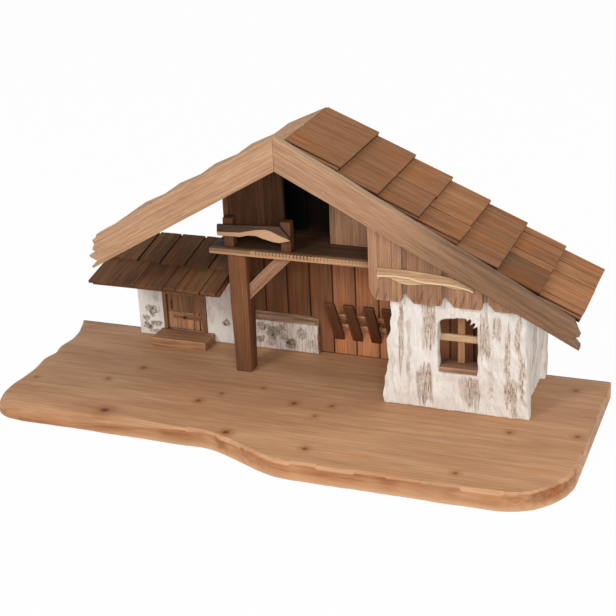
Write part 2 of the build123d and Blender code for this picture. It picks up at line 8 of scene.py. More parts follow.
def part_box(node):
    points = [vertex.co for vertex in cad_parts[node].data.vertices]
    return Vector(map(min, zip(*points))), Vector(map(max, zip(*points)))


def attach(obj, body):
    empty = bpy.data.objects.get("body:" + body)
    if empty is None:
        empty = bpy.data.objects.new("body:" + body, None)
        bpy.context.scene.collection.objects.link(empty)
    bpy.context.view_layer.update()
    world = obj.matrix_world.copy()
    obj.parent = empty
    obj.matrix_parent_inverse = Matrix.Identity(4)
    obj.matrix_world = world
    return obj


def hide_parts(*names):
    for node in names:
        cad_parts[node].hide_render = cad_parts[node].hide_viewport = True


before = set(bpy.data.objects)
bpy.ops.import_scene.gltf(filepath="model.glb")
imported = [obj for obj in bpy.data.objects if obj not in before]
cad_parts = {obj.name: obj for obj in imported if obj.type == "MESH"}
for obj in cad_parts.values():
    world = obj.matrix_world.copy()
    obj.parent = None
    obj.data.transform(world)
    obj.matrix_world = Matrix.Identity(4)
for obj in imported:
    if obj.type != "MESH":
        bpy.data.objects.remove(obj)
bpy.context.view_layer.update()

# Wooden nativity stable. Lengths in the code are millimetres, in the frame's own axes: +X right along the
# front, +Y back, +Z up. They become metres when a mesh is made.
MM = 0.001


def node_box(node):
    """Lowest and highest corner of a part, in millimetres."""
    low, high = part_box(node)
    return np.array(low) / MM, np.array(high) / MM


# Roof slopes: side 1 is the right one, side -1 the left one
SIDES = {1: "right", -1: "left"}
PITCH = {1: radians(28.6), -1: radians(29.8)}
DECK = 5.0
deck_low, deck_high = node_box("roof_deck_right")
crest_x, crest_z = deck_low[0], deck_high[2]
base_low, base_high = node_box("baseboard")
back_y, base_top = base_high[1:]
wall_low, wall_high = node_box("back_wall")
house_low, house_high = node_box("house_front_wall")
floor_low, floor_high = node_box("loft_floor")
LOFT_FRONT, LOFT_Z, LOFT_TOP = floor_low[1], floor_low[2], floor_high[2]


def roof_underside(x):
    """Height of the decks' underside over a place along the front."""
    heights = [crest_z - side * (x - crest_x) * tan(PITCH[side]) - DECK / cos(PITCH[side]) for side in SIDES]
    return np.minimum(*heights)


# Noise for shapes
LUMP_STEPS = np.array([73856093, 19349663, 83492791], np.int64)
LUMP_SEED = 2654435761
LUMP_MIX = 1274126177
LUMP_MASK = 0xFFFF


def lumps(points, size, seed):
    """Smooth noise from -1 to 1 at each point, with lumps of about this size."""
    cell = np.asarray(points, float) / size
    low = np.floor(cell).astype(np.int64)
    part = cell - low
    part = part * part * (3 - 2 * part)
    total = np.zeros(len(cell))
    for corner in range(8):
        step = np.array([corner & 1, corner >> 1 & 1, corner >> 2 & 1])
        mixed = ((low + step) * LUMP_STEPS).sum(1) + seed * LUMP_SEED
        mixed = (mixed ^ (mixed >> 13)) * LUMP_MIX
        value = ((mixed ^ (mixed >> 16)) & LUMP_MASK) / LUMP_MASK * 2 - 1
        total += np.prod(np.where(step, part, 1 - part), axis=1) * value
    return total


def ripple(x, size, seed):
    """Smooth noise from -1 to 1 along a line."""
    return lumps(np.stack([x, x * 0, x * 0], 1), size, seed)


def shaken(points, amount, size, seed):
    """Points moved a little to and fro, smoothly."""
    return points + amount * np.stack([lumps(points, size, seed + k) for k in range(3)], 1)


def ramp(value, start, run):
    """From 0 at a start to 1 at the end of the run, and flat outside it. A negative run goes backwards."""
    return np.clip((value - start) / run, 0, 1)


# What the finishes read at each point besides the way the grain runs: the tone of the board, how far it is
# stained, how near it is to an edge, and how far it is marked
VALUES = ("tone", "stain", "edge", "mark")


class Shape:
    """Points and faces, with the grain and the other values at each point."""

    def __init__(self, points, faces, grain, **values):
        self.points = points
        self.faces = faces
        self.grain = grain
        for key in VALUES:
            setattr(self, key, np.broadcast_to(np.asarray(values.get(key, 0.0), float), len(points)))


def at(value, points):
    """A value that is the same all over, or found from each point's place."""
    return value(points) if callable(value) else value


CORNER_LOOP = 0.35


def cuts(length, step, rounding):
    """Places of the loops along one side of a board, close together at its rounded ends."""
    inner = max(length - 2 * rounding, 0.01)
    count = max(int(round(inner / step)), 1)
    middle = rounding + inner * np.arange(count + 1) / count
    return np.concatenate([[0, rounding * CORNER_LOOP], middle, [length - rounding * CORNER_LOOP, length]])


def box_faces(counts):
    """Quads over the six sides of a lattice, as keys, and the lattice place of each key."""
    _, ny, nz = counts
    sides = []
    for axis in range(3):
        first, second = [a for a in range(3) if a != axis]
        i, j = np.meshgrid(np.arange(counts[first] + 1), np.arange(counts[second] + 1), indexing="ij")
        for value in (0, counts[axis]):
            place = np.zeros(i.shape + (3,), int)
            place[..., axis] = value
            place[..., first] = i
            place[..., second] = j
            key = (place[..., 0] * (ny + 1) + place[..., 1]) * (nz + 1) + place[..., 2]
            quads = np.stack([key[:-1, :-1], key[1:, :-1], key[1:, 1:], key[:-1, 1:]], -1).reshape(-1, 4)
            outward = (value > 0) == (axis != 1)
            sides.append(quads if outward else quads[:, ::-1])
    keys, faces = np.unique(np.concatenate(sides), return_inverse=True)
    places = np.stack([keys // ((ny + 1) * (nz + 1)), keys // (nz + 1) % (ny + 1), keys % (nz + 1)], 1)
    return places, faces.reshape(-1, 4)


random = np.random.RandomState(41)
GRAIN_REACH = 900
LONG_WAVE, SHORT_WAVE, SHORT_SHARE = 42.0, 11.0, 0.35


def board(low, high, along=2, rounding=0.8, step=9.0, wave=0.25, shape=None, turn=None, **values):
    """A board between two corners with rounded edges and a slightly uneven face. The grain runs along one
    axis. A shape bends it, a turn puts it in place, and the values give its tone, stain and marks."""
    low, high = np.array(low, float), np.array(high, float)
    size = high - low
    rounding = min(rounding, 0.4 * size.min())
    places = [cuts(size[a], step if np.isscalar(step) else step[a], rounding) for a in range(3)]
    lattice, faces = box_faces([len(p) - 1 for p in places])
    flat = np.stack([places[a][lattice[:, a]] for a in range(3)], 1)
    inner = np.clip(flat, rounding, size - rounding)
    out = flat - inner
    length = np.linalg.norm(out, axis=1)
    points = low + inner + out * (rounding / np.maximum(length, 1e-9))[:, None]
    edge = ((flat < rounding * 0.9) | (flat > size - rounding * 0.9)).sum(1) >= 2
    order = [along] + [a for a in range(3) if a != along]
    grain = flat[:, order] + random.uniform(-GRAIN_REACH, GRAIN_REACH, 3)
    if shape is not None:
        points = shape(points)
    seed = random.randint(1000)
    points = shaken(points, wave, LONG_WAVE, seed)
    points = shaken(points, wave * SHORT_SHARE, SHORT_WAVE, seed + 7)
    values = {key: at(value, points) for key, value in values.items()}
    if turn is not None:
        points = points @ turn[:3, :3].T + turn[:3, 3]
    return Shape(points, faces.tolist(), grain, edge=edge, **values)


def resampled(outline, step):
    """Points along a closed outline about this far apart, with its corners kept."""
    outline = np.array(outline, float)
    result = []
    for start, end in zip(outline, np.roll(outline, -1, axis=0)):
        count = max(int(round(np.linalg.norm(end - start) / step)), 1)
        result.append(start + (end - start) * (np.arange(count) / count)[:, None])
    return np.concatenate(result)


def smooth_line(points, count):
    """Points along a smooth curve through these, end to end."""
    points = np.array(points, float)
    padded = np.concatenate([[2 * points[0] - points[1]], points, [2 * points[-1] - points[-2]]])
    place = np.linspace(0, len(points) - 1, count)
    at_point = np.minimum(place.astype(int), len(points) - 2)
    t = (place - at_point)[:, None]
    a, b, c, d = (padded[at_point + k] for k in range(4))
    square = 2 * a - 5 * b + 4 * c - d
    cube = 3 * b - a - 3 * c + d
    return 0.5 * (2 * b + (c - a) * t + square * t ** 2 + cube * t ** 3)


def inset(outline, amount):
    """A closed outline, counterclockwise, drawn in by this amount at each point."""
    total = 0
    for way in (outline - np.roll(outline, 1, axis=0), np.roll(outline, -1, axis=0) - outline):
        total = total + np.stack([-way[:, 1], way[:, 0]], 1) / np.linalg.norm(way, axis=1)[:, None]
    reach = np.maximum((total * total).sum(1) / 2, 0.5)
    return outline + total * (np.asarray(amount) / reach)[..., None]


def facing_front(line, y):
    """A line drawn in X and Z, set at one depth."""
    return np.stack([line[:, 0], np.full(len(line), y), line[:, 1]], 1)


def rings_shape(rings, grain, caps=True, joined=False, **values):
    """A skin over rings of equally many points, with a flat face over each end or the ends joined."""
    rings = np.array(rings)
    count, around = rings.shape[:2]
    faces = []
    for k in range(count if joined else count - 1):
        this, following = k * around, (k + 1) % count * around
        for i in range(around):
            j = (i + 1) % around
            faces.append([this + i, this + j, following + j, following + i])
    if caps:
        faces.append(list(range(around))[::-1])
        faces.append(list(range((count - 1) * around, count * around)))
    points = rings.reshape(-1, 3)
    return Shape(points, faces, grain(points), **values)


PLATE_STEP, PLATE_WAVE, PLATE_LUMP, PLATE_EASE = 5.0, 0.3, 30.0, 0.3


def plate(outline, y_front, y_back, rounding, grain_angle, tone=0.0, stain=0.0):
    """A board sawn to an outline seen from the front (X, Z), counterclockwise, with rounded edges. The
    grain runs at an angle to X."""
    edge_line = resampled(outline, PLATE_STEP)
    inner, middle = (inset(edge_line, np.full(len(edge_line), r)) for r in (rounding, rounding * PLATE_EASE))
    ease = rounding * PLATE_EASE
    rings = [facing_front(line, y) for line, y in (
        (inner, y_back), (middle, y_back - ease), (edge_line, y_back - rounding),
        (edge_line, y_front + rounding), (middle, y_front + ease), (inner, y_front))]
    turn_c, turn_s = cos(grain_angle), sin(grain_angle)
    shift = random.uniform(-GRAIN_REACH, GRAIN_REACH, 3)

    def grain(points):
        x, y, z = points.T
        return np.stack([x * turn_c + z * turn_s, z * turn_c - x * turn_s, y], 1) + shift

    edge = np.repeat([0, 1, 1, 1, 1, 0], len(edge_line))
    shape = rings_shape(rings, grain, tone=tone, edge=edge)
    shape.points = shaken(shape.points, PLATE_WAVE, PLATE_LUMP, random.randint(1000))
    shape.stain = np.broadcast_to(at(stain, shape.points), len(shape.points))
    return shape


def add_values(mesh, key, kind, values):
    """Write one value per point."""
    field = mesh.attributes.new(key, kind, "POINT")
    field.data.foreach_set("vector" if kind == "FLOAT_VECTOR" else "value",
                           np.ravel(values).astype(np.float32))


def dress(piece, nodes, body="root"):
    """A finished piece takes the place of its parts and moves with their body."""
    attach(piece, body)
    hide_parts(*nodes)
    return piece


def placed(name, mesh):
    """An object for a mesh, in the scene."""
    piece = bpy.data.objects.new(name, mesh)
    bpy.context.scene.collection.objects.link(piece)
    return piece


def smoothed(mesh, crease):
    """Smooth shading, with edges sharper than the crease left hard."""
    mesh.polygons.foreach_set("use_smooth", [True] * len(mesh.polygons))
    mesh.set_sharp_from_angle(angle=radians(crease))


def make(name, shapes, finish, nodes, body="root", crease=48.0):
    """One piece from its shapes."""
    faces = []
    start = 0
    for shape in shapes:
        faces += [[start + i for i in face] for face in shape.faces]
        start += len(shape.points)
    mesh = bpy.data.meshes.new(name)
    mesh.from_pydata((np.concatenate([s.points for s in shapes]) * MM).tolist(), [], faces)
    add_values(mesh, "grain", "FLOAT_VECTOR", np.concatenate([s.grain for s in shapes]) * MM)
    for key in VALUES:
        add_values(mesh, key, "FLOAT", np.concatenate([getattr(s, key) for s in shapes]))
    smoothed(mesh, crease)
    mesh.materials.append(finish)
    return dress(placed(name, mesh), nodes, body)


# Finishes. Colours are given as a paint chart gives them, red, green and blue up to 255.
def colour(paint):
    """A paint in linear light. A socket is left as it is."""
    if not isinstance(paint, tuple):
        return paint
    parts = [c / 255 for c in paint]
    return tuple(c / 12.92 if c < 0.04045 else ((c + 0.055) / 1.055) ** 2.4 for c in parts) + (1.0,)


class Nodes:
    """A node tree built up from a few kinds of node."""

    def __init__(self, tree):
        self.tree = tree

    def add(self, kind, inputs=None, **settings):
        """A node with its settings and inputs: a socket is joined, anything else is set."""
        node = self.tree.nodes.new(kind if "Node" in kind else "ShaderNode" + kind)
        for key, value in settings.items():
            setattr(node, key, value)
        for key, value in (inputs or {}).items():
            if isinstance(value, bpy.types.NodeSocket):
                self.tree.links.new(value, node.inputs[key])
            else:
                node.inputs[key].default_value = value
        return node

    def math(self, kind, first, second=0.0, third=0.0):
        return self.add("Math", {0: first, 1: second, 2: third}, operation=kind).outputs[0]

    def vector(self, kind, first, second):
        return self.add("VectorMath", {0: first, 1: second}, operation=kind).outputs[0]


class Finish(Nodes):
    """A material."""

    def __init__(self, name, roughness, gloss):
        self.material = bpy.data.materials.new(name)
        self.material.use_nodes = True
        super().__init__(self.material.node_tree)
        self.shader = self.tree.nodes["Principled BSDF"]
        self.shader.inputs["Roughness"].default_value = roughness
        self.shader.inputs["Specular IOR Level"].default_value = gloss

    def value(self, name, kind="Fac"):
        return self.add("Attribute", attribute_name=name).outputs[kind]

    def place(self):
        return self.add("TexCoord").outputs["Object"]

    def stretch(self, vector, scale):
        return self.add("Mapping", {"Vector": vector, "Scale": scale}).outputs[0]

    def noise(self, vector, scale, detail=3.0, rough=0.55):
        inputs = {"Vector": self.stretch(vector, scale), "Scale": 1.0, "Detail": detail, "Roughness": rough}
        return self.add("TexNoise", inputs).outputs["Fac"]

    def fade(self, value, start, end, low=0.0, high=1.0):
        inputs = {"Value": value, "From Min": start, "From Max": end, "To Min": low, "To Max": high}
        return self.add("MapRange", inputs, interpolation_type="SMOOTHSTEP").outputs[0]

    def mix(self, amount, first, second):
        inputs = {0: amount, 6: colour(first), 7: colour(second)}
        return self.add("Mix", inputs, data_type="RGBA").outputs[2]

    def cover(self, base, paint, amount, share):
        """Paint over a base, as thick as an amount times a share."""
        return self.mix(self.math("MULTIPLY", amount, share), base, paint)

    def bright(self, base, value):
        return self.add("HueSaturation", {"Color": colour(base), "Value": value}).outputs[0]

    def paint(self, base, height, strength, distance, roughness=None):
        bump = self.add("Bump", {"Height": height, "Strength": strength, "Distance": distance})
        self.tree.links.new(base, self.shader.inputs["Base Color"])
        self.tree.links.new(bump.outputs[0], self.shader.inputs["Normal"])
        if roughness is not None:
            self.tree.links.new(roughness, self.shader.inputs["Roughness"])
        return self.material


GLOSS = 0.3
KNOT, KNOT_RIM = (94, 50, 22), (160, 104, 64)
KNOT_ACROSS, KNOT_ALONG = 1.15, 0.62
KNOT_DEEP = 5.0
TONE_STEP = 0.45


def wood(name, pale, mid, dark, stained, warm, worn=None, roughness=0.6, streak=0.5, fibre=0.5, ring=0.35,
         bump=0.35, edge=0.12, shine=0.08, fine=1.0, gloss=GLOSS, knots=(), aged=None):
    """Wood with streaks, fibres and growth lines along the grain, and warmer patches. Boards differ in tone,
    stained places are darker and edges are rubbed paler. A painted falloff darkens a board towards its left
    and back, painted shade where less light falls."""
    f = Finish(name, roughness, gloss)
    worn = worn or pale
    along = f.value("grain", "Vector")
    sway = f.add("TexNoise", {"Vector": f.stretch(along, (11, 45, 45)), "Scale": 1.0, "Detail": 2.0})
    sway = f.vector("SUBTRACT", sway.outputs["Color"], (0.5, 0.5, 0.5))
    bent = f.vector("ADD", along, f.vector("MULTIPLY", sway, (0.004, 0.005, 0.005)))
    cloud = f.noise(along, (9, 42, 42), 3.0)
    patch = f.noise(along, (17, 64, 64), 2.0)
    streaks = f.noise(bent, (13 * fine, 330 * fine, 330 * fine), 5.0, 0.62)
    fibres = f.noise(bent, (55 * fine, 1500 * fine, 1500 * fine), 3.0, 0.6)
    wave_inputs = {"Vector": f.stretch(bent, (5, 105 * fine, 60 * fine)), "Scale": 1.0, "Distortion": 5.0,
                   "Detail": 3.0, "Detail Scale": 0.7, "Detail Roughness": 0.6}
    lines = f.add("TexWave", wave_inputs, wave_type="BANDS", bands_direction="Y", wave_profile="SAW")
    lines = f.fade(lines.outputs["Fac"], 0.55, 0.98)
    base = f.mix(f.fade(cloud, 0.25, 0.78), mid, pale)
    base = f.mix(f.fade(patch, 0.5, 0.74, 0.0, 0.7), base, warm)
    base = f.cover(base, dark, f.fade(streaks, 0.62, 0.3), streak)
    base = f.cover(base, dark, lines, ring)
    base = f.cover(base, dark, f.fade(fibres, 0.58, 0.28), fibre)
    base = f.cover(base, pale, f.fade(fibres, 0.55, 0.8), fibre * 0.35)
    core, halo = 0.0, 0.0
    for x, y, across, length, strength in knots:
        spread = (length * KNOT_ALONG * MM, across * KNOT_ACROSS * MM, KNOT_DEEP * MM)
        place = f.vector("SUBTRACT", f.place(), (x * MM, y * MM, base_top * MM))
        place = f.vector("MULTIPLY", place, tuple(1 / width for width in spread))
        place = f.vector("ADD", place, f.vector("MULTIPLY", sway, (0.9, 0.9, 0)))
        reach = f.add("VectorMath", {0: place}, operation="LENGTH").outputs["Value"]
        core = f.math("MAXIMUM", f.fade(reach, 1.2, 0.15, 0.0, strength), core)
        halo = f.math("MAXIMUM", f.fade(reach, 3.0, 0.6, 0.0, strength), halo)
    if knots:
        base = f.cover(base, KNOT_RIM, halo, 0.62)
        base = f.cover(base, KNOT, core, 0.85)
    # Painted shade: darker towards the left and back, where the light falls off
    if aged:
        x, y, _ = f.add("SeparateXYZ", {0: f.place()}).outputs
        base = f.bright(base, f.fade(x, -0.28, 0.02, *aged))
        base = f.bright(base, f.fade(y, 0.06, -0.1, *aged))
    base = f.cover(base, worn, f.value("edge"), f.fade(streaks, 0.3, 0.7, edge * 0.4, edge * 2))
    base = f.mix(f.value("mark"), base, worn)
    stain_grain = f.math("MULTIPLY", f.fade(streaks, 0.34, 0.68, 0.7, 1.3),
                         f.fade(fibres, 0.3, 0.7, 0.85, 1.15))
    base = f.mix(f.value("stain"), base, f.bright(stained, stain_grain))
    base = f.bright(base, f.math("MULTIPLY_ADD", f.value("tone"), TONE_STEP, 1.0))
    height = f.math("ADD", f.math("MULTIPLY", streaks, 0.6), f.math("MULTIPLY", fibres, 0.5))
    height = f.math("SUBTRACT", height, f.math("MULTIPLY", lines, 0.25))
    sheen = f.fade(streaks, 0.3, 0.7, roughness + shine, roughness - shine)
    return f.paint(base, height, bump, 0.0006, sheen)


def plaster(name):
    """White plaster paint laid on upright with a stiff brush. Its recesses, where the tone of the relief is
    low, are darkened as painted shade. Brown dry-brushed dabs catch on its ridges where it is marked, and
    grey-brown stones are painted on it where it is stained. Bare board shows where the mark is more than
    full."""
    f = Finish(name, 0.86, GLOSS)
    place = f.place()
    dab = f.value("mark")
    brush = f.noise(place, (780, 780, 80), 4.0, 0.65)
    hair = f.noise(place, (1300, 1300, 60), 2.0, 0.5)
    speck = f.noise(place, (900, 900, 480), 3.0, 0.6)
    cloud = f.noise(place, (38, 38, 26), 4.0, 0.6)
    grit = f.noise(place, (1500, 1500, 1300), 2.0)
    base = f.mix(f.fade(cloud, 0.3, 0.72), (238, 231, 223), (250, 247, 243))
    # Painted shade in the recesses of the brushed relief
    base = f.mix(f.fade(f.value("tone"), -0.1, -0.5, 0.0, 0.6), base, (200, 184, 169))
    base = f.mix(f.fade(brush, 0.46, 0.32, 0.0, 0.4), base, (206, 192, 179))
    scrub = f.math("MULTIPLY_ADD", brush, 0.5, f.math("MULTIPLY", dab, 0.75))
    covered = f.fade(scrub, 0.48, 0.85)
    base = f.cover(base, (204, 182, 165), covered, 0.62)
    base = f.cover(base, (142, 114, 95), f.fade(hair, 0.53, 0.36, 0.0, 0.8), covered)
    base = f.cover(base, (128, 101, 83), f.fade(speck, 0.54, 0.68, 0.0, 0.65), covered)
    base = f.cover(base, (243, 236, 229), f.fade(hair, 0.56, 0.68, 0.0, 0.6), covered)
    base = f.cover(base, (84, 54, 34), f.value("stain"), f.fade(speck, 0.72, 0.4, 0.6, 1.0))
    plank_grain = f.noise(place, (26, 420, 420), 4.0, 0.6)
    plank = f.mix(f.fade(plank_grain, 0.35, 0.62), (112, 85, 64), (176, 143, 115))
    base = f.mix(f.fade(dab, 1.2, 1.8), base, plank)
    height = f.math("ADD", f.math("MULTIPLY", brush, 0.8), f.math("MULTIPLY", grit, 0.25))
    return f.paint(base, height, 0.9, 0.0022)


STAINED = (38, 24, 16)
SPLIT = {"roughness": 0.75, "streak": 0.48, "fibre": 0.45, "ring": 0.2, "bump": 0.25, "gloss": 0.15}
base_knots = [(-156, -71, 5, 8.5, 1.0), (-162, 23, 3, 5.5, 0.8), (-255, -25, 2.6, 5, 0.6),
              (-184, -9, 2.6, 5, 0.6), (-79, -28, 2.8, 5.5, 0.85), (-29, -79, 3.6, 7, 1.0),
              (-64, -9, 2.2, 4, 0.6), (-30, 13, 2.2, 4, 0.6), (9, -9, 3, 5.5, 0.85), (45, -5, 2.6, 5, 0.65),
              (37, -28, 2.4, 4, 0.65), (50, -88, 3, 5.5, 0.8), (212, -11, 2.8, 5, 0.7),
              (270, -2, 2.8, 5, 0.7), (252, 86, 2.8, 5, 0.6), (185, -92, 2.8, 5, 0.7)]
# The base is darkened towards its left and back as painted shade, by its painted falloff.
base_finish = wood(
    "base pine", (217, 171, 132), (188, 142, 106), (141, 98, 69), (150, 92, 54), (209, 154, 111),
    (220, 180, 140), roughness=0.46, streak=0.28, fibre=0.22, ring=0.17, bump=0.1, shine=0.12, fine=0.7,
    gloss=0.06, knots=base_knots, aged=(0.885, 1.06))
shingle_finish = wood(
    "shingle wood", (176, 126, 88), (152, 105, 71), (98, 64, 42), (40, 25, 17), (186, 112, 56),
    (208, 166, 128), **SPLIT)
# The left slope's shingles are paler, as painted light on the slope that faces the light.
left_shingle_finish = wood(
    "sun-bleached shingle", (212, 172, 136), (188, 146, 112), (124, 88, 63), (60, 40, 28), (196, 142, 98),
    (216, 178, 142), **SPLIT)
lean_shingle_finish = wood(
    "weathered shingle", (134, 95, 65), (110, 76, 51), (62, 41, 28), STAINED, (146, 90, 51),
    **(SPLIT | {"streak": 0.5, "fibre": 0.42, "bump": 0.3}))
# The bargeboard's edges are rubbed paler than most woods', partly wear and partly a painted highlight along
# its top edge.
barge_finish = wood(
    "bargeboard wood", (208, 168, 133), (191, 149, 116), (142, 102, 76), (111, 80, 56), (201, 149, 108),
    (222, 186, 146), roughness=0.58, fibre=0.55, ring=0.3, bump=0.4, edge=0.35)
light_finish = wood(
    "light wood", (214, 172, 130), (196, 152, 112), (146, 104, 72), (66, 42, 30), (200, 146, 100),
    (230, 192, 150), streak=0.45, edge=0.2)
dark_finish = wood(
    "dark wood", (148, 101, 71), (122, 80, 55), (72, 46, 31), STAINED, (152, 92, 56), (170, 120, 86),
    streak=0.4, fibre=0.32, ring=0.2, bump=0.25, gloss=0.12)
door_finish = wood(
    "door wood", (166, 122, 88), (136, 97, 69), (70, 47, 33), STAINED, (160, 102, 64), (200, 152, 112),
    edge=0.2)
clad_finish = wood(
    "cladding wood", (190, 146, 114), (162, 119, 91), (106, 72, 52), (62, 41, 29), (176, 122, 88),
    (206, 166, 130), ring=0.25, edge=0.3)
trim_finish = wood(
    "cream wood", (208, 169, 128), (190, 150, 112), (140, 100, 70), (110, 76, 52), (196, 150, 106),
    (244, 222, 184), roughness=0.55, streak=0.6, fibre=0.6, edge=0.1)
plaster_finish = plaster("rough plaster")


def wire_finish():
    """Drawn wire, dulled."""
    f = Finish("hinge wire", 0.4, 0.5)
    f.shader.inputs["Metallic"].default_value = 1.0
    drawn = f.noise(f.place(), (2500, 2500, 90), 3.0)
    base = f.mix(f.fade(drawn, 0.3, 0.7), (92, 86, 80), (138, 132, 124))
    return f.paint(base, drawn, 0.2, 0.0002, f.fade(drawn, 0.3, 0.7, 0.5, 0.3))


for material_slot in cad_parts["door_hinge_pin"].material_slots:
    material_slot.material = wire_finish()

# Baseboard: outline with a wavy left edge and an S-shaped step in front. The left end is rounded over, and
# the rest of the front is chamfered with long knife cuts.
BASE_LEFT = [(-280, 114.5), (-276, 92), (-274.5, 73), (-276.5, 53), (-274, 38), (-277.5, 21), (-275, -3),
             (-276, -23), (-277.8, -40), (-276.5, -55), (-271.5, -70), (-260, -81), (-238, -86)]
BASE_STEP = [(-54, -82.5), (-40, -85), (-22, -91.5), (-7, -98.3), (8, -105.4), (24, -111.6), (40, -114.4)]
BASE_CORNER = 62.0
ROUND_WIDE, ROUND_DEEP = 14.0, 12.0
PLAIN_CUT = 1.2
CORNER_FADE = 24.0
END_X = 200
RIGHT_PLAIN, RIGHT_FADE = 20, 40
ROUND_FROM, ROUND_FADE = -95, -90
END_GRAIN_X, END_GRAIN_FADE = 215, 50
EDGE_LINES = 9
FACET_LENGTH, FACET_WIDE, FACET_DEEP, FACET_PALE = (7, 38), (0.8, 3.4), (1.2, 4.6), (0.0, 0.3)


def base_outline():
    """The baseboard's outline, counterclockwise from its back left corner."""
    angle = np.linspace(-pi / 2, 0, 48)
    corner = np.array([base_high[0] - BASE_CORNER, base_low[1] + BASE_CORNER])
    right = corner + BASE_CORNER * np.stack([np.cos(angle), np.sin(angle)], 1)
    line = np.concatenate([smooth_line(BASE_LEFT, 120), smooth_line(BASE_STEP, 50), right, [base_high[:2]]])
    line = resampled(line, 2.0)
    gap = np.linalg.norm(np.diff(line, axis=0), axis=1)
    return line[np.concatenate([[True], gap > 0.4])]


outline = base_outline()
base_x, base_y = outline.T
run = np.concatenate([[0], np.cumsum(np.linalg.norm(np.diff(outline, axis=0), axis=1))])
worked = np.where(base_x > END_X, ramp(-base_y, RIGHT_PLAIN, RIGHT_FADE), 1.0)
worked = np.where(base_x < -END_X, ramp(base_y, back_y, -CORNER_FADE), worked)
worked = np.where(base_y > back_y - 1, 0.0, worked)
rounded = ramp(base_x, ROUND_FROM, ROUND_FADE) * worked
chamfered = worked * (1 - rounded)
cut_width, cut_depth, cut_pale = np.zeros((3, len(outline)))
facet_start = 0.0
knife = np.random.RandomState(7)
while facet_start < run[-1]:
    facet_length = knife.uniform(*FACET_LENGTH)
    inside = (run >= facet_start) & (run < facet_start + facet_length)
    along = (run[inside] - facet_start) / facet_length
    cut_width[inside] = np.interp(along, [0, 1], knife.uniform(*FACET_WIDE, 2))
    cut_depth[inside] = np.interp(along, [0, 1], knife.uniform(*FACET_DEEP, 2))
    cut_pale[inside] = knife.uniform(*FACET_PALE)
    facet_start += facet_length
cut_width = PLAIN_CUT + (cut_width - PLAIN_CUT) * worked
cut_depth = PLAIN_CUT + (cut_depth - PLAIN_CUT) * worked
side_wave = (ripple(run, 26.0, 3) * 0.5 + ripple(run, 6.0, 8) * 0.25) * worked
end_grain = ramp(base_x, END_GRAIN_X, END_GRAIN_FADE) * np.clip(0.5 + ripple(run, 5.0, 4), 0, 1)
side_cloud = np.clip(0.5 + 0.8 * ripple(run, 14.0, 6), 0, 1) * worked
outer = inset(outline, 0.6 + side_wave)


def base_ring(width, z):
    """A line round the board, drawn in by a width."""
    line = inset(outer, width)
    return np.stack([line[:, 0], line[:, 1], np.broadcast_to(z, len(line))], 1)


def edge_ring(share, inside=0.0):
    """One line of the worked edge, from the side of the board, 0, to its top face, 1, or inside that."""
    turn = share * pi / 2
    width = rounded * ROUND_WIDE * (1 - cos(turn)) + (1 - rounded) * cut_width * share
    depth = rounded * ROUND_DEEP * (1 - sin(turn)) + (1 - rounded) * cut_depth * (1 - share)
    return base_ring(width + inside, base_top - depth)


edge_foot = edge_ring(0.0)[:, 2]
base_rings = [
    base_ring(1.0 + 3.5 * rounded, 0.0),
    base_ring(1.2 * rounded, 1.0 + 0.8 * rounded),
    base_ring(0.7 * worked * (1 - rounded), edge_foot * 0.55),
    base_ring(0.2 * worked * (1 - rounded), edge_foot - 0.3),
]
base_rings += [edge_ring(share) for share in np.linspace(0, 1, EDGE_LINES)] + [edge_ring(1.0, 0.9)]
ring_marks = [0 * run, 0.5 * worked, 0.1 * worked, 0 * run]
ring_stains = [0.2 + 0 * run, 0.1 * worked, 0.4 * worked + 0.3 * side_cloud + 0.3 * end_grain,
               0.45 * worked + 0.35 * side_cloud + 0.2 * end_grain]
# The pale lines at the first and last edge lines are painted highlights on the facets' edges, and the light
# stain of 0.12 over the chamfer is painted shade.
for k in range(EDGE_LINES + 1):
    rim = 0.25 if k in (0, EDGE_LINES - 1) else 0.0
    ring_marks.append((cut_pale + rim) * chamfered * (k < EDGE_LINES))
    below_top = k < EDGE_LINES - 1
    ring_stains.append((0.12 + 0.3 * (k < 2)) * worked * below_top + 0.35 * end_grain * below_top)
base_shape = rings_shape(base_rings, lambda p: p.copy(), mark=np.concatenate(ring_marks),
                         stain=np.concatenate(ring_stains))
make("carved_base", [base_shape], base_finish, ["baseboard"], crease=22.0)


# Back wall of upright boards, up to the roof. Its right end is under the house's plaster.
def under_roof(low_z, high_z, gap):
    """Bends a board so that its top follows the roof."""
    def shape(points):
        share = (points[:, 2] - low_z) / (high_z - low_z)
        top = roof_underside(points[:, 0]) - gap
        points[:, 2] = low_z + share * (top - low_z)
        return points
    return shape


def roof_board(low, high, gap=0.15, **values):
    """A board whose top follows the roof."""
    return board(low, high, shape=under_roof(low[2], high[2], gap), **values)


RAW_TOP = 200.0
GROOVE_PITCH = 23.6
FIRST_GROOVE = 79.92
LEFT_JOINT = -76.5
PLASTER_SKIN = 1.7
SHOULDER_Z, SHOULDER_LAP = 129.7, 4.0
FOOT_Z, FOOT_FADE = 46.0, 10.0
SEAM_DARK = 0.75
ROOM_TONE = 2.9
LOFT_SHADE, LOFT_STAIN, LOFT_FADE = 1.9, 0.97, 12
LOFT_PALE_FROM, LOFT_PALE = 1.0, 0.5
wall_joints = [wall_low[0], LEFT_JOINT] + [FIRST_GROOVE + GROOVE_PITCH * k for k in range(-6, 6)]
wall_joints.append(wall_high[0] - PLASTER_SKIN)


def wall_face(points):
    """1 on the front of the wall, 0 behind."""
    return (points[:, 1] < wall_low[1] + 2).astype(float)


def loft_dark(points):
    """Painted shade: the wall is darkened above the loft floor."""
    return ramp(points[:, 2], LOFT_Z - LOFT_FADE / 2, LOFT_FADE) * LOFT_STAIN * wall_face(points)


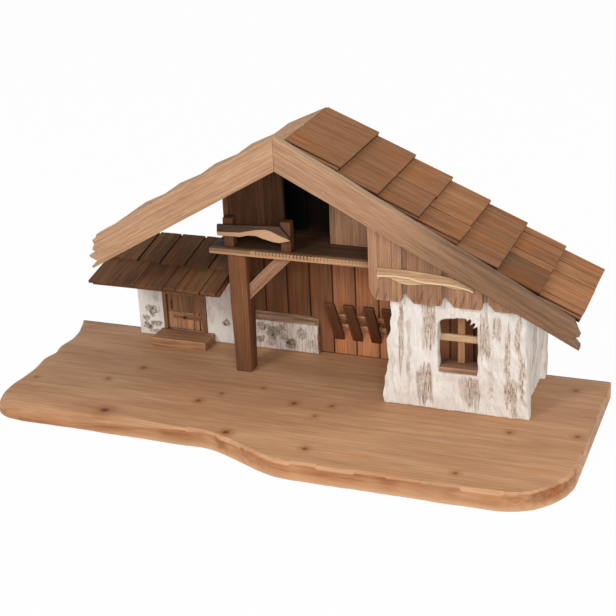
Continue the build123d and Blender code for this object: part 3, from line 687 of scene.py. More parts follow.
def wall_tone(board_tone, foot_tone):
    """Tone of one board of the wall, warmer and paler at its foot as painted light, and darkened above the
    loft floor as painted shade, less so on a pale board.
    """
    shade = LOFT_SHADE * LOFT_PALE if board_tone > LOFT_PALE_FROM else LOFT_SHADE

    def tone(points):
        foot = ramp(points[:, 2], FOOT_Z, -FOOT_FADE)
        return (board_tone + foot_tone * foot) * wall_face(points) - shade * loft_dark(points)
    return tone


def room_tone(points):
    """The wall is bare inside the house, and pale there as painted light."""
    return wall_face(points) * ROOM_TONE


# Tones of the wall's boards from the left, and how much paler each is at its foot. The high tones of the
# boards right of the middle and of their feet are painted light, where light reaches in under the loft.
wall_tones = [wall_tone(tone, foot) for tone, foot in (
    (0.0, 0), (-0.55, 0), (-0.5, 0), (-0.45, 0), (0.25, 0.3), (2.05, 0.7), (3.3, 0.4), (3.2, 0.4),
    (2.4, 0.6))]
# Inside the house the boards are toned and marked pale, as painted light.
wall_tones += [room_tone] * 5
back_boards = []
for k, (x0, x1) in enumerate(zip(wall_joints, wall_joints[1:])):
    z0 = SHOULDER_Z - SHOULDER_LAP if k == 0 else base_top
    upright = roof_board((x0, wall_low[1], z0), (x1, wall_high[1], RAW_TOP), rounding=1.3, step=8.0,
                         tone=wall_tones[k], stain=loft_dark,
                         mark=wall_face if wall_tones[k] is room_tone else 0.0)
    upright.stain = np.maximum(upright.stain, upright.edge * SEAM_DARK)
    upright.edge = upright.edge * 0
    back_boards.append(upright)
make("back_boards", back_boards, dark_finish, ["back_wall"])

# Roof decks of boards laid along the ridge, with the courses of shingles that they carry
EAVE_FILLET = 20.0
MITRE_RUN = 20
DECK_BOARD = 58
SHINGLE_LENGTH, SHINGLE_TIP, SHINGLE_BUTT = 62.0, 2.4, 3.8
SHINGLE_EAVE, SHINGLE_BACK, RIDGE_LAP = 6.0, 0.8, 1.4
COURSES = {1: 7, -1: 5}
EXPOSURE = {1: 40.2, -1: 45.8}
FIRST_END = {1: 53.0, -1: 42.5}
lower_ends = {side: [FIRST_END[side] + EXPOSURE[side] * k for k in range(COURSES[side])] for side in SIDES}


def wedge_rise(length, exposure, tip, butt):
    """Slope of a shingle's underside against the deck, resting on the course below."""
    return (tip + (butt - tip) * (length - exposure) / length) / exposure


shingle_rise = {side: wedge_rise(SHINGLE_LENGTH, EXPOSURE[side], SHINGLE_TIP, SHINGLE_BUTT) for side in SIDES}


def slope_ways(side):
    """Ways down a roof slope and out of it."""
    pitch = PITCH[side]
    return (side * cos(pitch), 0, -sin(pitch)), (side * sin(pitch), 0, cos(pitch))


def turned(x_way, y_way, z_way, place):
    """Turn that lays a board's own axes along these ways, from a place."""
    turn = np.eye(4)
    turn[:3] = np.array([x_way, y_way, z_way, place]).T
    return turn


def eave_shape(pitch, end, fillet_run, lift, thickness):
    """Bends deck boards: a plumb upper end, and a fillet at the eave under the lowest course."""
    def shape(points):
        along, _, out = points.T
        fillet = ramp(along, end - fillet_run, fillet_run)
        along -= out * tan(pitch) * np.clip(1 - along / MITRE_RUN, 0, 1)
        out += fillet * lift * np.clip(1 + out / thickness, 0, 1)
        return points
    return shape


def deck_boards(side):
    """Boards of one deck, mitred at the ridge, with the eave fillet under the lowest course."""
    end = lower_ends[side][-1] - SHINGLE_EAVE
    count = int(end // DECK_BOARD)
    lift = shingle_rise[side] * (SHINGLE_LENGTH - SHINGLE_EAVE)
    shape = eave_shape(PITCH[side], end, EAVE_FILLET, lift, DECK)
    down, out = slope_ways(side)
    turn = turned(down, (0, side, 0), out, (crest_x, 0, crest_z))
    y0, y1 = sorted((side * deck_low[1], side * deck_high[1]))
    return [board((end * k / count, y0, -DECK), (end * (k + 1) / count, y1, 0), along=1, rounding=0.7,
                  step=6.0, wave=0.12, tone=random.uniform(-0.2, 0.1), stain=0.35, shape=shape, turn=turn)
            for k in range(count)]


for side, label in SIDES.items():
    make(f"deck_boards_{label}", deck_boards(side), dark_finish, [f"roof_deck_{label}"])

# Bargeboards with fishtail ends. Points of such an end, from the top, are given by how far they lie in from
# the tip and by their share of the plumb cut's height.
RIDGE_X, RIDGE_Z = 3.0, 272.6
RIDGE_GAP = 0.2
BARGE_CUT = 30.4
BARGE_SHOULDER = {1: 5.5, -1: 10}
FISHTAIL = {1: [(0, 0.56), (2, 0.54), (6, 0.5), (4, 0.36), (0, 0.15), (0, 0)],
            -1: [(3.8, 0.66), (9.5, 0.54), (0, 0.45), (0.8, 0.38), (7.5, 0.28), (1.6, 0.05), (2.8, 0)]}


def barge_grey(points):
    """The right bargeboard gets greyer towards its lower end."""
    return np.interp(points[:, 0], [0, 40, 110, 165, 240], [0.26, 0.18, 0.3, 0.84, 0.88])


def bargeboard(side, **values):
    """One bargeboard, from the ridge down to its fishtail."""
    low, high = node_box("bargeboard_" + SIDES[side])
    tip = high[0] if side > 0 else low[0]
    tip_top = RIDGE_Z - side * (tip - RIDGE_X) * tan(PITCH[side])
    ridge_x = RIDGE_X + side * RIDGE_GAP
    shoulder = BARGE_SHOULDER[side]
    line = [(tip - side * shoulder, tip_top + shoulder * tan(PITCH[side]))]
    line += [(tip - side * inward, low[2] + (tip_top - low[2]) * share) for inward, share in FISHTAIL[side]]
    line.append((ridge_x, RIDGE_Z - BARGE_CUT))
    line = [(ridge_x, RIDGE_Z)] + (line[::-1] if side > 0 else line)
    return plate(line, low[1], high[1], 0.8, -side * PITCH[side], **values)


for side, values in ((-1, {"tone": -0.12}), (1, {"stain": barge_grey})):
    make("fishtail_" + SIDES[side], [bargeboard(side, **values)], barge_finish, ["bargeboard_" + SIDES[side]])


# Shingles: one blank wedge, laid on points with a size, a turn and a tone of their own
def geometry_tree(name, inputs):
    """An empty tree for laying out copies of a shape, and the sockets that give its inputs."""
    tree = bpy.data.node_groups.new(name, "GeometryNodeTree")
    for label, kind in (("Geometry", "Geometry"), *inputs, ("Finish", "Material")):
        tree.interface.new_socket(label, in_out="INPUT", socket_type="NodeSocket" + kind)
    tree.interface.new_socket("Geometry", in_out="OUTPUT", socket_type="NodeSocketGeometry")
    return Nodes(tree), tree.nodes.new("NodeGroupInput").outputs


def end_tree(n, geometry, finish):
    """Give the laid copies their finish at the end of a tree."""
    geometry = n.add("GeometryNodeSetMaterial", {"Geometry": geometry, "Material": finish}).outputs[0]
    n.tree.links.new(geometry, n.tree.nodes.new("NodeGroupOutput").inputs[0])
    return n.tree


def shingle_layer():
    """Node tree that lays shingles on points, with split fibres, an uneven lower edge and dark sides. Their
    butts are darkened, partly as painted shade under each course, and their sides can be made pale as painted
    light.
    """
    n, source = geometry_tree("Shingle layer", (
        ("Fibre depth", "Float"), ("Ragged edge", "Float"), ("Butt stain", "Float"), ("Side stain", "Float"),
        ("Side pale", "Float"), ("Downhill", "Vector"), ("Outward", "Vector")))

    def field(name, kind="FLOAT"):
        return n.add("GeometryNodeInputNamedAttribute", {"Name": name}, data_type=kind).outputs["Attribute"]

    def store(geometry, name, value, kind="FLOAT"):
        return n.add("GeometryNodeStoreNamedAttribute", {"Geometry": geometry, "Name": name, "Value": value},
                     data_type=kind, domain="POINT").outputs[0]

    def scaled(direction, amount):
        return n.add("VectorMath", {0: direction, "Scale": amount}, operation="SCALE").outputs[0]

    def noise(place, scale, detail):
        inputs = {"Vector": n.vector("MULTIPLY", place, scale), "Scale": 1.0, "Detail": detail,
                  "Roughness": 0.6}
        return n.math("SUBTRACT", n.add("TexNoise", inputs).outputs[0], 0.5)

    here = n.add("GeometryNodeInputPosition").outputs[0]
    blank = n.add("GeometryNodeMeshCube", {"Size": (1, 1, 1), "Vertices X": 18, "Vertices Y": 72,
                                           "Vertices Z": 3}).outputs[0]
    blank = store(blank, "unit", n.vector("ADD", here, (0.5, 0.5, 0.5)), "FLOAT_VECTOR")
    unit = field("unit", "FLOAT_VECTOR")
    down, across, out = n.add("SeparateXYZ", {0: unit}).outputs
    thin = SHINGLE_TIP / SHINGLE_BUTT
    taper = n.math("ADD", n.math("MULTIPLY", down, 1 - thin), thin)
    wedge = n.add("CombineXYZ", {0: down, 1: across, 2: n.math("MULTIPLY", out, taper)}).outputs[0]
    blank = n.add("GeometryNodeSetPosition", {"Geometry": blank, "Position": wedge}).outputs[0]
    points = n.add("GeometryNodeMeshToPoints", {"Mesh": source["Geometry"]}).outputs[0]
    turn = n.add("FunctionNodeEulerToRotation", {0: field("turn", "FLOAT_VECTOR")}).outputs[0]
    size = field("size", "FLOAT_VECTOR")
    laid = n.add("GeometryNodeInstanceOnPoints", {"Points": points, "Instance": blank, "Rotation": turn,
                                                  "Scale": size}).outputs[0]
    laid = n.add("GeometryNodeRealizeInstances", {"Geometry": laid}).outputs[0]
    grain = n.vector("ADD", n.vector("MULTIPLY", unit, size), field("shift", "FLOAT_VECTOR"))
    laid = store(laid, "grain", grain, "FLOAT_VECTOR")
    grain = field("grain", "FLOAT_VECTOR")
    coarse = n.math("MULTIPLY", noise(grain, (6, 130, 0), 2.0), 1.2)
    split = n.math("ADD", noise(grain, (14, 620, 0), 4.0), coarse)
    lift = n.math("MULTIPLY", n.math("MULTIPLY", split, out), source["Fibre depth"])
    low_end = n.add("MapRange", {"Value": down, "From Min": 0.8, "From Max": 1.0},
                    interpolation_type="SMOOTHSTEP").outputs[0]
    chips = n.math("MULTIPLY", noise(grain, (0, 60, 0), 1.0), 1.5)
    ragged = n.math("ADD", noise(grain, (0, 520, 0), 3.0), chips)
    ragged = n.math("MULTIPLY", ragged, source["Ragged edge"])
    off_middle = n.math("SUBTRACT", across, 0.5)
    skew = n.math("MULTIPLY", off_middle, field("skew"))
    slide = n.math("MULTIPLY", n.math("ADD", ragged, skew), low_end)
    move = n.vector("ADD", scaled(source["Outward"], lift), scaled(source["Downhill"], slide))
    laid = n.add("GeometryNodeSetPosition", {"Geometry": laid, "Offset": move}).outputs[0]
    edge = n.math("GREATER_THAN", n.math("ABSOLUTE", off_middle), 0.49)
    # Pale shingle sides, as painted light where they are given
    laid = store(laid, "mark", n.math("MULTIPLY", edge, source["Side pale"]))
    # Dark butts: partly the butts' own darker wood, partly painted shade under the course's lower edge
    butt = n.math("MULTIPLY", n.math("GREATER_THAN", down, 0.99), source["Butt stain"])
    dark = n.math("MAXIMUM", n.math("MULTIPLY", edge, source["Side stain"]), butt)
    dark = n.math("MULTIPLY", dark, n.math("LESS_THAN", out, 0.9))
    laid = store(laid, "stain", n.math("MAXIMUM", dark, field("soot")))
    return end_tree(n, laid, source["Finish"])


SHINGLES = shingle_layer()
TREE_CREASE = 40


def run_tree(piece, tree, **inputs):
    """Set a tree's inputs by their identifiers, then turn its result into a plain mesh."""
    modifier = piece.modifiers.new("layer", "NODES")
    modifier.node_group = tree
    for item in tree.interface.items_tree:
        key = item.name.lower().replace(" ", "_")
        if item.in_out == "INPUT" and key in inputs:
            modifier[item.identifier] = inputs[key]
    graph = bpy.context.evaluated_depsgraph_get()
    mesh = bpy.data.meshes.new_from_object(piece.evaluated_get(graph), preserve_all_data_layers=True,
                                           depsgraph=graph)
    piece.modifiers.clear()
    piece.data = mesh
    smoothed(mesh, TREE_CREASE)


def lay_shingles(name, rows, ways, finish, nodes, fibre=0.35, ragged=0.4, butt=0.8, sides=1.0, pale=0.0):
    """One course: each row holds a place, a size, a turn, a tone, a skew and how sooty it is."""
    places, sizes, turns, tones, skews, soots = (np.array([row[k] for row in rows], float) for k in range(6))
    mesh = bpy.data.meshes.new(name)
    mesh.from_pydata((places * MM).tolist(), [], [])
    shifts = random.uniform(-0.9, 0.9, (len(rows), 3))
    for key, values in (("size", sizes * MM), ("turn", turns), ("shift", shifts)):
        add_values(mesh, key, "FLOAT_VECTOR", values)
    for key, values in (("tone", tones), ("skew", skews * MM), ("soot", soots)):
        add_values(mesh, key, "FLOAT", values)
    piece = placed(name, mesh)
    run_tree(piece, SHINGLES, fibre_depth=fibre * MM, ragged_edge=ragged * MM, butt_stain=butt,
             side_stain=sides, side_pale=pale, downhill=ways[0], outward=ways[1], finish=finish)
    for key in ("size", "turn", "shift", "skew", "soot", "unit"):
        field = piece.data.attributes.get(key)
        if field is not None:
            piece.data.attributes.remove(field)
    dress(piece, nodes)


# Seams of each course, measured from the back. Some courses stop short of the bargeboard, and a thin strip
# lies beside it there.
SHINGLE_SPAN = 116.7
SEAM = 2.2
STRIP_DROP, STRIP_TONE = 1.1, -0.2
seams_at = {1: [[], [], [58.0], [74.0], [], [14.0, 54.0, 68.0], [27.0, 51.5, 99.7]],
            -1: [[62.0], [35.0, 88.0], [70.0], [28.0, 80.0], [45.0, 90.0]]}
right_strips = [6.0, 0.0, 4.5, 6.0, 0.0, 0.0, 5.5]
right_tones = [[0.15], [0.15], [0.5, 0.1], [0.65, 0.4], [0.05], [0.65, 0.45, 0.6, -0.7],
               [0.95, 0.7, 1.05, 0.8]]
SOOTY_COURSE, SOOT = 1, 0.06
# The left slope is toned paler as painted light.
LEFT_TONE, LEFT_SPREAD = 0.3, 0.15
course_look = {1: {"finish": shingle_finish}, -1: {"finish": left_shingle_finish, "sides": 0.1, "pale": 0.9}}


def course_rows(side, k):
    """Shingles of one course on a slope, from the back to the front."""
    pitch, rise, lower = PITCH[side], shingle_rise[side], lower_ends[side][k]
    head = lower - SHINGLE_LENGTH
    upper = max(head, -RIDGE_LAP if side > 0 else 0.0)
    strip = right_strips[k] if side > 0 else 0.0
    soot = SOOT if side > 0 and k == SOOTY_COURSE else 0.0
    seams = [0.0] + seams_at[side][k] + [SHINGLE_SPAN - strip]
    if strip:
        seams.append(SHINGLE_SPAN)
    rows = []
    for i in range(len(seams) - 1):
        beside_barge = strip > 0 and i == len(seams) - 2
        width = seams[i + 1] - seams[i] - SEAM
        y_back = back_y - SHINGLE_BACK - seams[i]
        out = rise * (upper - head) - (STRIP_DROP if beside_barge else 0.0)
        place = (crest_x + side * (upper * cos(pitch) + out * sin(pitch)),
                 y_back - width if side > 0 else y_back, crest_z - upper * sin(pitch) + out * cos(pitch))
        size = ((lower - upper - random.uniform(0.2, 1.4)) / cos(atan(rise)), width, SHINGLE_BUTT)
        turn = (0, pitch - atan(rise), 0 if side > 0 else pi)
        if side < 0:
            tone = LEFT_TONE + random.uniform(-LEFT_SPREAD, LEFT_SPREAD)
        else:
            tone = STRIP_TONE if beside_barge else right_tones[k][i]
        rows.append((place, size, turn, tone, random.uniform(-0.8, 0.8), soot))
    return rows


for side, label in SIDES.items():
    for k in range(COURSES[side]):
        lay_shingles(f"split_shingles_{label}_{k + 1}", course_rows(side, k), slope_ways(side),
                     nodes=[f"shingle_course_{label}_{k + 1}"], **course_look[side])

# House: plastered walls with uneven edges
PLASTER_CREASE = 60.0
SLANT, SLANT_Z = 0.45, 80
SLANT_X, SLANT_FADE = 178, 12
FACE_SINK, EDGE_LUMP, EDGE_SHARE, FOOT_STILL = 0.6, 9.0, 0.5, 6


def brushed(points, seed):
    """Relief of plaster laid on with brush strokes, about -1 to 1: sharp upright ridges, slanting towards the
    house's right end."""
    x, y, z = points.T
    slant = SLANT * (z - SLANT_Z) * ramp(x, SLANT_X, SLANT_FADE)
    strokes = np.stack([x + slant, y, z * 0.13], 1)
    ridges = 1 - 2.4 * np.abs(lumps(strokes, 6.0, seed + 2))
    threads = 1 - 2.4 * np.abs(lumps(strokes * (1, 1, 1.8), 2.8, seed + 5))
    waves = lumps(points, 15.0, seed) * 0.35 + lumps(points, 5.5, seed + 1) * 0.2
    return waves + ridges * 0.4 + threads * 0.25


def ray_reach(outline, centre, way):
    """Distance from a centre to an outline round it, each way."""
    start = np.array(outline, float) - centre
    reach = np.full(len(way), np.inf)
    for a, b in zip(start, np.roll(start, -1, axis=0)):
        step = b - a
        cross = way[:, 0] * step[1] - way[:, 1] * step[0]
        cross = np.where(np.abs(cross) < 1e-9, 1e-9, cross)
        far = (a[0] * step[1] - a[1] * step[0]) / cross
        along = (a[0] * way[:, 1] - a[1] * way[:, 0]) / cross
        hit = (along >= -1e-6) & (along <= 1 + 1e-6) & (far > 0)
        reach = np.where(hit, np.minimum(reach, far), reach)
    return reach


def holed_wall(outer, hole, centre, y_front, y_back, rounding, rough, seed, rays, rings, stain=0.0, mark=0.0):
    """A wall with one opening, both outlines seen from the front (X, Z), with a lumpy brushed face."""
    centre = np.array(centre, float)
    corners = np.concatenate([np.array(outer, float), np.array(hole, float)]) - centre
    angle = np.concatenate([np.linspace(-pi, pi, rays, endpoint=False),
                            np.arctan2(corners[:, 1], corners[:, 0])])
    angle = np.unique(np.round(angle, 5))
    way = np.stack([np.cos(angle), np.sin(angle)], 1)
    far, near = ray_reach(outer, centre, way), ray_reach(hole, centre, way)
    width = far - near
    lip = [(lead, y_front + rounding * (1 - (1 - (1 - lead) ** 2) ** 0.5))
           for lead in (0.0, CORNER_LOOP, 1.0)]
    face = [(near + rounding * lead, depth) for lead, depth in lip]
    face += [(near + rounding + (width - 2 * rounding) * share, y_front)
             for share in np.linspace(0, 1, rings)[1:-1]]
    face += [(far - rounding * lead, depth) for lead, depth in lip[::-1]]
    behind = [(far, y_front + rounding + (y_back - y_front - rounding) * share) for share in (0.5, 1.0)]
    behind += [(near + width * share, y_back) for share in (0.66, 0.33, 0.0)]
    behind.append((near, (y_front + rounding + y_back) / 2))
    loops = [facing_front(centre + way * reach[:, None], depth) for reach, depth in face + behind]
    shape = rings_shape(loops, lambda p: p.copy(), caps=False, joined=True)
    points = shape.points
    shape.mark = np.broadcast_to(at(mark, points), len(points))
    shape.stain = np.broadcast_to(at(stain, points), len(points))
    facing = np.arange(len(points)) // len(angle) < len(face)
    # The face's relief is its tone, which also darkens the plaster's recesses as painted shade.
    shape.tone = np.where(facing, brushed(points, seed), 0.0)
    points[:, 1] += np.where(facing, rough * FACE_SINK - shape.tone * rough, 0.0)
    edge_shift = np.stack([lumps(points, EDGE_LUMP, seed + k) for k in (3, 4)], 1) * rough * EDGE_SHARE
    points[:, 0] += edge_shift[:, 0]
    points[:, 2] += edge_shift[:, 1] * ramp(points[:, 2], base_top, FOOT_STILL)
    return shape


def patches(places):
    """Dabs of a dry brush, each at a place (X, Z, width, height, strength), fading out along frayed ends."""
    def mark(points):
        bristle = lumps(points * (1, 1, 0.06), 1.6, 9)
        total = np.zeros(len(points))
        for x, z, wide, high, strength in places:
            across = np.abs(points[:, 0] - x) / (0.6 * wide) + 0.15 * bristle
            along = np.abs(points[:, 2] - z) / (0.6 * high) + 0.3 * bristle
            reach = (np.abs(across) ** 3 + np.abs(along) ** 3) ** (1 / 3)
            total = np.maximum(total, ramp(reach, 1.15, -0.5) * strength)
        return total
    return mark


def stones(places):
    """Painted stones, each at a place (X, Z, width, height, strength): a grey-brown blot of no regular shape,
    with darker broken strokes on it."""
    def stain(points):
        total = np.zeros(len(points))
        for x, z, wide, high, strength in places:
            seed = int(x * 7 + z * 3) % 97
            reach = np.hypot((points[:, 0] - x) / (0.5 * wide), (points[:, 2] - z) / (0.5 * high))
            reach = reach + 0.5 * lumps(points, 4.0, seed) + 0.25 * lumps(points, 1.9, seed + 1)
            blot = ramp(reach, 1.0, -0.2)
            stroke = np.clip(1.3 - np.abs(lumps(points, 2.6, seed + 2)) / 0.2, 0, 1)
            rim = np.clip(1.2 - np.abs(reach - 0.9) / 0.16, 0, 1)
            total = np.maximum(total, np.maximum(blot * (0.5 + 0.5 * stroke), rim * 0.7) * strength)
        return total
    return stain


HOUSE_GAP = 0.3
house_left = [(88.3, 18), (86.8, 25), (89, 41), (92.6, 51), (92.8, 68), (92.2, 82), (95.6, 93), (96.5, 105),
              (95.8, 118), (96, LOFT_Z)]
house_right = [(223.2, 18), (221.6, 38), (220.4, 74), (219.3, 111),
               (219.3, roof_underside(219.3) - HOUSE_GAP)]
roof_corner = crest_x + (crest_z - DECK / cos(PITCH[1]) - HOUSE_GAP - LOFT_Z) / tan(PITCH[1])
house_outline = house_left[::-1] + house_right + [(roof_corner, LOFT_Z)]
WINDOW_X, WINDOW_Z, WINDOW_Z0, WINDOW_HALF = 157.95, 84, 55.8, 18.0
window_arch = [(18, 101), (17.3, 103.2), (13.6, 101.4), (15.6, 105.4), (14.3, 106.8), (10.6, 103.6),
               (12.3, 108.1), (10.2, 109.3), (8.2, 107.4), (6.9, 109.9), (3.2, 110), (0, 109.8),
               (-3.2, 109.2), (-7, 108.7), (-10, 107.8), (-13.8, 106.1), (-16.2, 104.2), (-17.4, 102.6),
               (-18, 101)]
window_outline = [(WINDOW_X - WINDOW_HALF, WINDOW_Z0), (WINDOW_X + WINDOW_HALF, WINDOW_Z0)]
window_outline += [(WINDOW_X + x, z) for x, z in window_arch]
house_marks = [(106, 86, 5, 66, 0.75), (112.5, 60, 4, 70, 0.6), (126.7, 43, 14, 36, 1.0),
               (171.7, 38, 14, 28, 1.0), (182.7, 95, 12, 44, 0.75), (202.7, 80, 6, 64, 0.7),
               (194, 104, 10, 22, 0.65), (204.4, 44, 9, 30, 0.9), (210, 33.5, 6, 32, 0.8),
               (133, 102, 11, 44, 0.9), (130, 117, 12, 12, 0.8), (216, 62, 5, 44, 0.8),
               (150, 113, 24, 6, 0.4), (97, 58, 5, 30, 0.5), (189, 58, 6, 40, 0.5), (212, 96, 6, 40, 0.7)]
house_front = holed_wall(house_outline, window_outline, (WINDOW_X, WINDOW_Z), house_low[1], house_high[1],
                         rounding=1.6, rough=2.0, seed=5, rays=620, rings=62, mark=patches(house_marks))
make("plaster_front", [house_front], plaster_finish, ["house_front_wall"],
     crease=PLASTER_CREASE)

# Right wall of the house, with a skin of plaster over the end of the back wall
side_low, side_high = node_box("house_right_wall")
side_inner = side_high[0] - 10
SIDE_TOP = 150.0
SIDE_DRAWN = 4.5
DRAWN_FROM, DRAWN_FADE, DRAWN_TO = 40, 14, 102
DRAWN_TOP, DRAWN_RISE = 70, 40
SIDE_ROUGH, SIDE_SINK = 1.2, 0.3
SIDE_MARK = 1.15
SIDE_PALE = 0.3
SIDE_SEED = 61
side_dabs = [(20, 95, 16, 90, 0.5), (36, 70, 9, 120, 0.42), (53, 88, 20, 100, 0.55), (74, 62, 12, 110, 0.42),
             (90, 90, 18, 90, 0.52), (108, 68, 12, 130, 0.45)]


def side_marks(points):
    """Brown dabs on the right wall, by their place along Y and Z."""
    return patches(side_dabs)(points[:, [1, 0, 2]]) * SIDE_MARK


# The side's relief darkens its recesses as painted shade; the lift makes that painted shade lighter.
def side_relief(points):
    relief = brushed(points[:, [1, 0, 2]], SIDE_SEED) * 0.5 + SIDE_PALE
    return np.where(points[:, 0] > side_high[0] - 4, relief, 0.0)


def side_shape(points):
    """Brushed outer face, drawn in a little at the foot, ragged towards the back."""
    points = under_roof(base_top, SIDE_TOP, HOUSE_GAP)(points)
    x, y, z = points.T
    outside = x > side_high[0] - 3
    inside = x < side_inner + 2
    over_wall = y > wall_low[1] - 0.5
    x[:] = np.where(inside & over_wall, wall_high[0] - PLASTER_SKIN + 0.1, x)
    drawn = ramp(y, DRAWN_FROM, DRAWN_FADE) * ramp(z, DRAWN_TOP, -DRAWN_RISE) * (y < DRAWN_TO)
    x += outside * (brushed(points[:, [1, 0, 2]], SIDE_SEED) * SIDE_ROUGH - SIDE_DRAWN * drawn - SIDE_SINK)
    y -= np.abs(lumps(points, 6.0, 63)) * 1.6 * (y > back_y - 4)
    return points


house_side = board((side_inner, side_low[1] - 0.2, base_top), (side_high[0], back_y, SIDE_TOP), rounding=1.2,
                   step=(4.0, 1.0, 1.5), wave=0.3, shape=side_shape, mark=side_marks, tone=side_relief)
make("plaster_side", [house_side], plaster_finish, ["house_right_wall"],
     crease=PLASTER_CREASE)

inner_low, inner_high = node_box("house_left_wall")
inner_joints = np.linspace(inner_low[1], inner_high[1], 5)


def inner_pale(points):
    """Pale towards the room, as painted light."""
    return (points[:, 0] > inner_high[0] - 2).astype(float)


def inner_tone(points):
    return inner_pale(points) * ROOM_TONE - 0.2


make("house_inner_boards", [board((inner_low[0], a, inner_low[2]), (inner_high[0], b, inner_high[2]),
                                  rounding=1.0, tone=inner_tone, mark=inner_pale)
                            for a, b in zip(inner_joints, inner_joints[1:])],
     dark_finish, ["house_left_wall"])


def plain_board(name, node, finish, slot="dark_wood", body="root", **values):
    """One board in the place of one part."""
    return make(name, [board(*node_box(node), **values)], finish, [node], body=body)


def sill_stain(points):
    """The sill is darker on top than at its front."""
    return np.where(points[:, 1] > node_box("window_sill")[0][1] + 1, 0.3, 0.0)


plain_board("cross_bar", "window_cross_bar", trim_finish, "light_wood", along=0, rounding=1.0, tone=-0.08,
            mark=0.3)
plain_board("upright_bar", "window_mullion", door_finish, rounding=1.0, tone=1.2)
plain_board("sill_board", "window_sill", clad_finish, "light_wood", along=0, rounding=1.0, tone=-0.1,
            stain=sill_stain)

# Gable: side wall let in over the loft floor, cladding of narrow boards with a notched edge, carved batten
gable_low, gable_high = node_box("gable_side_wall")
gable_joints = np.linspace(LOFT_FRONT, gable_high[1], 4)
gable_parts = [roof_board((gable_low[0], gable_low[1], LOFT_Z), (gable_high[0], LOFT_FRONT - 0.2, RAW_TOP),
                          0.2, tone=-0.2)]
gable_parts += [roof_board((gable_low[0], a, LOFT_TOP), (gable_high[0], b, RAW_TOP), 0.2, tone=-0.25)
                for a, b in zip(gable_joints, gable_joints[1:])]
make("gable_side_boards", gable_parts, dark_finish, ["gable_side_wall"])

# Dark set-back strips between the cladding boards, each with a notch under it, and knife cuts up from the
# lower edge
clad_low, clad_high = node_box("gable_cladding")
clad_strips = (112.2, 148.6, 185.0)
STRIP_WIDE, STRIP_SETBACK = 5.0, 1.3
NICK_SLANT = 0.3
CLAD_CORNER, CLAD_CORNER_RISE = 6, 12
NOTCH_X, NOTCH_RISE = (-4.0, -2.5, 1.5, 8.5), (0, 6.6, 8.0, 0)
clad_joints = [clad_low[0], 88.0, 100.6, 109.7, 114.7, 128.1, 136.5, 146.1, 151.1, 159.8, 170.7, 182.5, 187.5,
               198.0, 208.5, clad_high[0]]
clad_tones = [0.1, 0.05, -0.05, -0.75, -0.2, -0.1, -0.2, -0.75, -0.1, 0.05, -0.1, -0.75, 0.0, -0.1, 0.0]
clad_cuts = [(85.0, 11), (93.5, 8), (104.5, 6), (120.0, 7), (125.5, 12), (133.5, 11), (143.0, 7), (156.5, 9),
             (163.0, 12), (174.5, 8)]


def notched_edge(x):
    """Lower edge of the cladding: rounded corner at the left, notches steep at their left side."""
    edge = clad_low[2] + ramp(x, clad_low[0] + CLAD_CORNER, -CLAD_CORNER) ** 1.4 * CLAD_CORNER_RISE
    for strip in clad_strips:
        edge = edge + np.interp(x - strip, NOTCH_X, NOTCH_RISE)
    return edge


def clad_shape(points):
    x, _, z = points.T
    share = ramp(z, clad_low[2], RAW_TOP - clad_low[2])
    low = notched_edge(x)
    z[:] = low + share * (roof_underside(x) - 0.3 - low)
    return points


def clad_mark(points):
    """Fresh wood where the lower edge is carved."""
    return np.clip(1 - (points[:, 2] - notched_edge(points[:, 0])) / 2.2, 0, 1) * 0.35


def clad_nicks(points):
    """Slanting knife cuts, each at a place along X and up to a height."""
    rise = points[:, 2] - clad_low[2]
    total = np.zeros(len(points))
    for x, height in clad_cuts:
        off = np.abs(points[:, 0] - x - rise * NICK_SLANT)
        total = np.maximum(total, np.clip(1.4 - off / 0.9, 0, 1) * (rise < height))
    return total * 0.45


clad_boards = []
for a, b, tone in zip(clad_joints, clad_joints[1:], clad_tones):
    setback = STRIP_SETBACK if b - a < STRIP_WIDE + 0.5 else 0.0
    clad_boards.append(board((a, clad_low[1] + setback, clad_low[2]), (b, clad_high[1], RAW_TOP),
                             rounding=0.8, step=(0.7, 4.0, 2.5), wave=0.2, tone=tone, shape=clad_shape,
                             mark=clad_mark, stain=clad_nicks))
make("scalloped_cladding", clad_boards, clad_finish, ["gable_cladding"])

STRIP_CREASE = 25.0
STRIP_SECTIONS = 90


def curve(x, *knots):
    """Height along X, straight between knots, each (X, Z)."""
    return np.interp(x, *zip(*knots))


def carved_strip(sections):
    """A strip of wood carved along X, from its sections."""
    shift = random.uniform(-GRAIN_REACH, GRAIN_REACH, 3)
    return rings_shape(sections, lambda p: p[:, [0, 2, 1]] + shift)


